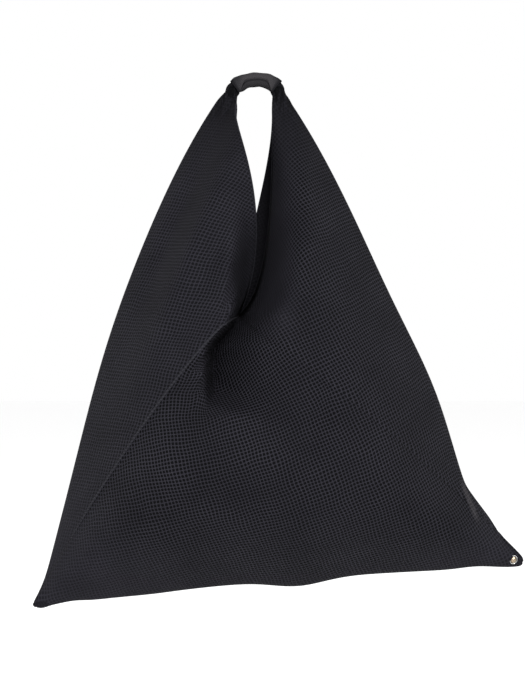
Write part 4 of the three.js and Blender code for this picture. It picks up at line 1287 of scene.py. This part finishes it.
@dataclass(frozen=True)
class Seam:
    """A sewn diagonal seam: a low ridge with its row of stitches."""

    strip: FoldedStrip
    square: Square
    is_front: bool
    name: str
    stations: int = 170
    half_width: float = 1.3
    half_depth: float = 1.0
    lift: float = 1.2
    buried: float = -1.4
    stitch_pitch: float = 4.2
    stitch_length: float = 3.0
    stitch_radius: float = 0.28

    def line(self, share: Array) -> tuple[Array, Array, Array]:
        """Points of the seam and their normals and directions, from the corner to the foot."""
        w = (-1 if self.is_front else 1) * share
        zero = np.zeros_like(share)
        middle = self.strip.point(self.square, zero, w)
        normal, _ = self.strip.frame_at(self.square, zero + 0.002, w)
        along = unit(np.gradient(middle, axis=0))
        return middle, normal, along

    def build(self, look: Look) -> list[bpy.types.Object]:
        """The ridge and the stitches as two objects."""
        share = np.linspace(0.05, 0.995, self.stations)
        middle, normal, along = self.line(share)
        side = unit(np.cross(along, normal))
        fade = (smoothstep(0.02, 0.35, share) * 0.65 + 0.35) * (1 - 0.5 * smoothstep(0.86, 1.0, share))
        shown = smoothstep(0.10, 0.32, share)[:, None]
        raised = middle + normal * mix(self.buried, self.lift, shown)
        ridge = Strand(raised, side, normal, self.half_width * fade, self.half_depth * fade)
        return [ridge.build(self.name, look.ridge), self.stitches(look, middle, normal, side)]

    def stitches(self, look: Look, middle: Array, normal: Array, side: Array) -> bpy.types.Object:
        """Short threads in a row along the ridge."""
        run = np.concatenate([[0], np.cumsum(np.linalg.norm(np.diff(middle, axis=0), axis=1))])
        whole = bmesh.new()
        whole.loops.layers.uv.new("UVMap")
        for start in np.arange(3.0, run[-1] - 4, self.stitch_pitch):
            at = start + np.linspace(0, self.stitch_length, 7)
            pick = lambda table: np.stack([np.interp(at, run, table[:, k]) for k in range(3)], -1)
            bow = np.sin(np.linspace(0, math.pi, 7))
            lift = self.lift + self.half_depth - 0.35 + 0.5 * bow
            centre = pick(middle) + pick(normal) * lift[:, None]
            radius = self.stitch_radius * (0.55 + 0.45 * bow)
            stitch = Strand(centre, unit(pick(side)), unit(pick(normal)), radius, radius, sides=6)
            absorb(whole, stitch.surface())
        bmesh.ops.remove_doubles(whole, verts=whole.verts, dist=1e-6)
        bmesh.ops.holes_fill(whole, edges=[e for e in whole.edges if e.is_boundary], sides=0)
        return make_object(f"{self.name}_stitches", whole, look.seam)


# ---------------------------------------------------------------- the handle


@dataclass(frozen=True)
class Sleeve:
    """The smooth sleeve that wraps the gathered ears, with one edge lapped over the other."""

    # Length and girth of its UV map, in metres
    LENGTH = 0.058
    GIRTH = 0.05

    bow: tuple = ((-23.6, 0.9), (-9.0, 11.0), (11.5, 12.4), (25.3, 1.2))
    crown_half: float = 8.1
    mouth_half: float = 9.2
    half_depth: float = 7.0
    squareness: float = 0.8
    wall: float = 1.5
    lap: float = 1.3
    lap_turn: float = 0.12
    lap_dip: float = 1.15
    stations: int = 130
    sides: int = 128

    def middle_line(self, u: Array) -> tuple[Array, Array]:
        """Middle of the sleeve and its direction at u, from -1 at the left mouth to 1 at the right one."""
        share = (np.asarray(u) + 1) / 2
        ahead = bezier(self.bow, share + 1e-3) - bezier(self.bow, share - 1e-3)
        return bezier(self.bow, share), unit(ahead)

    def lap_line(self, u: Array) -> Array:
        """Turn at which the lapped edge lies."""
        return self.lap_turn - self.lap_dip * smoothstep(0.4, 1.0, np.abs(u))

    def place(self, turn_share: Array, u: Array) -> Array:
        """Points of the outer skin: round the section, and along the sleeve."""
        turn = math.pi * turn_share
        middle, ahead = self.middle_line(u)
        outward = np.stack([-ahead[..., 1], ahead[..., 0]], -1)
        far = smoothstep(0.25, 1.0, np.abs(u))
        half = mix(self.crown_half, self.mouth_half, far)
        half = half * (1 - 0.16 * smoothstep(0.8, 1.0, np.abs(u)) * np.maximum(np.sin(turn), 0))
        rise = np.sign(np.sin(turn)) * np.abs(np.sin(turn)) ** self.squareness
        front = np.sign(np.cos(turn)) * np.abs(np.cos(turn)) ** self.squareness
        lap_at = self.lap_line(u)
        over = smoothstep(-0.04, 0.05, turn - lap_at)
        deep = 0.9 + 0.9 * bump(u, -0.55, 0.28)
        groove = -deep * bump(turn - lap_at, -0.13, 0.12)
        behind = smoothstep(math.pi, math.pi - 0.7, np.abs(turn))
        swell = 1 + (self.lap * over * behind + groove - 0.5 * self.lap) / 7.5
        pull = 0.55 * np.sin(3 * turn - 9 * u + 1.0) * far + 0.25 * np.sin(11 * u + 2 * turn)
        height = (half * swell + pull) * rise
        depth = (self.half_depth * swell + pull) * front
        place = middle + outward * height[..., None]
        return np.stack([place[..., 0], -depth, place[..., 1]], -1)

    def build(self, look: Look) -> bpy.types.Object:
        """The sleeve as an object, open at both mouths."""
        bm = mapped_grid(self.sides, self.stations, self.place)
        piece = make_object("sleeve", bm, look.sleeve)
        turned = lambda u, v: u - 0.5 - self.lap_line(2 * v - 1) / math.tau
        lay_out(piece.data, lambda u, v: np.stack([v * self.LENGTH, turned(u, v) * self.GIRTH], -1))
        thicken(piece, self.wall, -1.0)
        return piece


@dataclass(frozen=True)
class Core:
    """The gathered cloth of the ears inside the sleeve, which shows where it leaves the slanted mouths."""

    sleeve: Sleeve
    left_end: tuple = ((-28.6, -8.0), (-26.7, -4.6), (-25.2, -1.8))
    right_end: tuple = ((25.7, -1.8), (26.2, -4.6), (27.6, -8.0))
    half: float = 5.2
    # Half widths at the first four knots of either end
    end_halves: tuple = (6.9, 8.2, 9.0, 7.6)
    half_depth: float = 5.0
    stations: int = 160

    def build(self, look: Look) -> bpy.types.Object:
        """The core as an object."""
        inside, _ = self.sleeve.middle_line(np.linspace(-1, 1, 9))
        knots = np.concatenate([np.array(self.left_end), inside, np.array(self.right_end)])
        halves = np.full(len(knots), self.half)
        halves[:4], halves[-4:] = self.end_halves, self.end_halves[::-1]
        steps = np.linalg.norm(np.diff(knots, axis=0), axis=1)
        run = np.concatenate([[0], np.cumsum(steps)])
        at = np.linspace(0, run[-1], self.stations)
        columns = (knots[:, 0], knots[:, 1], halves)
        x, z, half = relaxed(np.stack([np.interp(at, run, column) for column in columns], -1), 40).T
        middle = np.stack([x, np.zeros_like(half), z], -1)
        along = unit(np.gradient(middle, axis=0))
        out = np.broadcast_to(np.array([0.0, -1.0, 0.0]), middle.shape)
        side = unit(np.cross(along, out))
        depth = np.full_like(half, self.half_depth)
        strand = Strand(middle, side, out, half, depth, sides=120, pleats=11, pleat_depth=0.16)
        # The core takes the darker copy of the gathered mesh, as painted shade in the mouths
        return strand.build("core", look.bundle)


# ---------------------------------------------------------------- the lower corners


@dataclass(frozen=True)
class CornerTab:
    """A lower corner whose layers are folded together and sewn flat.

    path has a row for each knot of its middle line: x, z, and the half width and half depth there.
    """

    name: str
    strip: FoldedStrip
    path: tuple[tuple[float, float, float, float], ...]
    stations: int = 48

    @property
    def depth(self) -> float:
        """How far back the corner lies."""
        return float(self.strip.fullness.fold_y(self.path[0][1]))

    def build(self, look: Look) -> bpy.types.Object:
        """The tab as an object."""
        knots = np.array(self.path)
        share, at = np.linspace(0, 1, self.stations), np.linspace(0, 1, len(knots))
        table = relaxed(np.stack([np.interp(share, at, column) for column in knots.T], -1), 12)
        middle = np.stack([table[:, 0], np.full(self.stations, self.depth), table[:, 1]], -1)
        along = unit(np.gradient(middle, axis=0))
        out = np.broadcast_to(np.array([0.0, -1.0, 0.0]), middle.shape)
        strand = Strand(middle, unit(np.cross(along, out)), out, table[:, 2], table[:, 3], sides=48)
        return strand.build(self.name, look.dense)


@dataclass(frozen=True)
class Stud:
    """The metal stud of the right corner, and the plate behind it."""

    middle: tuple[float, float, float]
    half_width: float = 4.3
    half_height: float = 5.3
    lean: float = math.radians(-28)
    sides: int = 48
    face: float = 4.6
    back: float = 2.9

    def disc(self, name: str, profile: list, face: float, material: bpy.types.Material) -> bpy.types.Object:
        """A turned oval piece: profile has shares of the radius, and depths towards the viewer."""
        points = np.array(profile)

        def place(a: Array, b: Array) -> Array:
            i = np.rint((b + 1) / 2 * (len(points) - 1)).astype(int)
            turn = math.pi * a
            x = self.half_width * points[i, 0] * np.cos(turn)
            z = self.half_height * points[i, 0] * np.sin(turn)
            c, s = math.cos(self.lean), math.sin(self.lean)
            return np.stack(
                [self.middle[0] + x * c - z * s, face - points[i, 1], self.middle[2] + x * s + z * c], -1
            )

        return make_object(name, mapped_grid(self.sides, len(points) - 1, place), material)

    def build(self, look: Look) -> list[bpy.types.Object]:
        """The rim, the dome and the back plate."""
        y = self.middle[1]
        rim = [(0, -1.5), (0.98, -1.5), (1, -1.2), (1, 0.2), (0.96, 0.75)]
        rim += [(0.88, 0.9), (0.8, 0.7), (0.74, 0.3), (0, 0.3)]
        dome = [(0, 0.0), (0.74, 0.0), (0.74, 0.4)]
        turns = [k * math.pi / 16 for k in range(1, 8)]
        dome += [(0.74 * math.cos(turn), 0.4 + 1.3 * math.sin(turn)) for turn in turns]
        dome += [(0.12, 1.66), (0.1, 1.2), (0, 1.15)]
        back = [(0, 0), (0.8, 0), (0.8, -0.8), (0.7, -1.4), (0, -1.6)]
        return [
            self.disc("stud_rim", rim, y - self.face, look.silver),
            self.disc("stud_dome", dome, y - self.face, look.brass),
            self.disc("stud_back", back, y + self.back, look.silver),
        ]


# ---------------------------------------------------------------- studio


@dataclass(frozen=True)
class Studio:
    """A plain pale room with soft light, and the camera at the photograph's angle, in metres."""

    distance: float = 1.5
    aim: tuple[float, float] = (0.0086, -0.301)
    view_height: float = 0.805
    sensor: float = 36.0
    floor_z: float = -0.95
    floor_size: float = 30.0
    # Each light's name, place, size and power
    lights: tuple = (
        ("key", (0.5, -2.65, 0.55), 1.3, 245.0),
        ("fill", (-0.6, -2.3, 0.1), 1.0, 20.0),
        ("left rim", (-1.7, 0.5, -0.2), 0.9, 38.0),
        ("right rim", (1.9, 0.5, 0.0), 0.9, 32.0),
    )

    def build(self) -> None:
        """Makes the room, the lights and the camera."""
        scene = bpy.context.scene
        scene.view_settings.view_transform = "Standard"
        world = bpy.data.worlds.new("Room")
        world.use_nodes = True
        world.node_tree.nodes["Background"].inputs["Color"].default_value = (1, 1, 1, 1)
        world.node_tree.nodes["Background"].inputs["Strength"].default_value = 1.0
        scene.world = world
        self.floor()
        for light in self.lights:
            self.light(*light)
        self.camera()

    def floor(self) -> None:
        """A pale floor under the bag."""
        material = bpy.data.materials.new("Pale floor")
        material.use_nodes = True
        shader = material.node_tree.nodes["Principled BSDF"]
        shader.inputs["Base Color"].default_value = (0.97, 0.97, 0.97, 1)
        shader.inputs["Roughness"].default_value = 0.9
        bm = bmesh.new()
        bmesh.ops.create_grid(bm, x_segments=1, y_segments=1, size=self.floor_size / 2)
        for vertex in bm.verts:
            vertex.co.z = self.floor_z
        make_object("floor", bm, material)

    def light(self, name: str, place: tuple, size: float, power: float) -> None:
        """A square soft light that faces the middle of the bag."""
        data = bpy.data.lights.new(name, "AREA")
        data.size = size
        data.energy = power
        lamp = bpy.data.objects.new(name, data)
        lamp.location = place
        aim = Vector((self.aim[0], 0.0, self.aim[1])) - Vector(place)
        lamp.rotation_euler = aim.to_track_quat("-Z", "Y").to_euler()
        bpy.context.scene.collection.objects.link(lamp)

    def camera(self) -> None:
        """The camera, level and straight in front."""
        data = bpy.data.cameras.new("camera")
        data.sensor_width = self.sensor
        data.lens = self.sensor / 2 / (self.view_height / 2 / self.distance)
        camera = bpy.data.objects.new("camera", data)
        camera.location = (self.aim[0], -self.distance, self.aim[1])
        camera.rotation_euler = (math.pi / 2, 0, 0)
        bpy.context.scene.collection.objects.link(camera)
        bpy.context.scene.camera = camera


# ---------------------------------------------------------------- the whole bag

LEFT_TAB = (
    (-257.4, -597.0, 0.4, 0.4),
    (-254.6, -596.7, 2.2, 2.0),
    (-249.0, -595.8, 3.5, 2.8),
    (-242.0, -593.8, 4.8, 2.8),
    (-234.0, -590.8, 4.6, 2.4),
    (-226.0, -587.5, 3.5, 1.4),
)
RIGHT_TAB = (
    (308.2, -547.2, 0.4, 0.4),
    (306.4, -546.2, 3.0, 2.2),
    (303.0, -544.8, 6.2, 2.9),
    (296.5, -542.6, 8.2, 3.0),
    (289.0, -539.6, 8.4, 2.6),
    (282.0, -536.0, 7.0, 1.4),
)


def report(piece: bpy.types.Object) -> None:
    """Logs a finished piece."""
    log.info("built %s: %d faces", piece.name, len(piece.data.polygons))


def build_cloth(strip: FoldedStrip, look: Look) -> None:
    """The three squares of mesh."""
    lattice = Lattice(strip)
    for square, columns, rows, nodes in (
        (Square.LEFT_EAR, 104, 220, ("left_ear_panel", "left_ear_tip")),
        (Square.RIGHT_EAR, 104, 210, ("right_ear_panel", "right_ear_tip")),
        (Square.BASE, 200, 170, ("base_panel",)),
    ):
        cloth = ClothPiece(strip, lattice, square, columns, rows, nodes)
        piece = cloth.build(look)
        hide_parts(*cloth.replaces)
        if cloth.square is Square.BASE:
            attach(piece, Body.BAG.value)
        else:
            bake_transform(piece)
        report(piece)


def build_edges(strip: FoldedStrip, look: Look) -> None:
    """The four hems and the two seams."""
    for square in (Square.LEFT_EAR, Square.RIGHT_EAR):
        for is_front in (True, False):
            hem = Hem(strip, square, is_front)
            piece = hem.build(look)
            side = square.value.split("_")[0]
            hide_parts(f"{side}_{'front' if is_front else 'back'}_hem")
            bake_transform(piece)
            report(piece)
    for seam in (
        Seam(strip, Square.LEFT_EAR, True, "front_seam"),
        Seam(strip, Square.RIGHT_EAR, False, "back_seam"),
    ):
        for piece in seam.build(look):
            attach(piece, Body.BAG.value)
            if not piece.name.endswith("stitches"):
                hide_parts(f"{seam.name}_bead")
            report(piece)


def build_handle(look: Look) -> None:
    """The sleeve and the cloth that runs through it."""
    sleeve = Sleeve()
    for piece, node, slot in (
        (sleeve.build(look), "handle_sleeve", "sleeve"),
        (Core(sleeve).build(look), "handle_core", "mesh"),
    ):
        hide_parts(node)
        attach(piece, Body.HANDLE.value)
        report(piece)


def build_corners(strip: FoldedStrip, look: Look) -> None:
    """The two lower corners, and the stud at the right one."""
    tabs = (
        CornerTab("left_tab", strip, LEFT_TAB),
        CornerTab("right_tab", strip, RIGHT_TAB),
    )
    for tab, node in zip(tabs, ("left_corner_pad", "right_corner_pad")):
        piece = tab.build(look)
        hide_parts(node)
        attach(piece, Body.BAG.value)
        report(piece)
    low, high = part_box("corner_stud")
    centre = [(a + b) / 2 / MM for a, b in zip(low, high)]
    stud = Stud((centre[0] - 0.3, tabs[1].depth, centre[2] + 0.8))
    for piece, node in zip(stud.build(look), ("corner_stud", None, "corner_stud_back")):
        if node:
            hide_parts(node)
        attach(piece, Body.BAG.value)
        report(piece)


def main() -> None:
    """Builds the studio and the bag."""
    Studio().build()
    look = Look()
    strip = FoldedStrip()
    build_cloth(strip, look)
    build_edges(strip, look)
    build_handle(look)
    build_corners(strip, look)


if __name__ == "__main__":
    main()
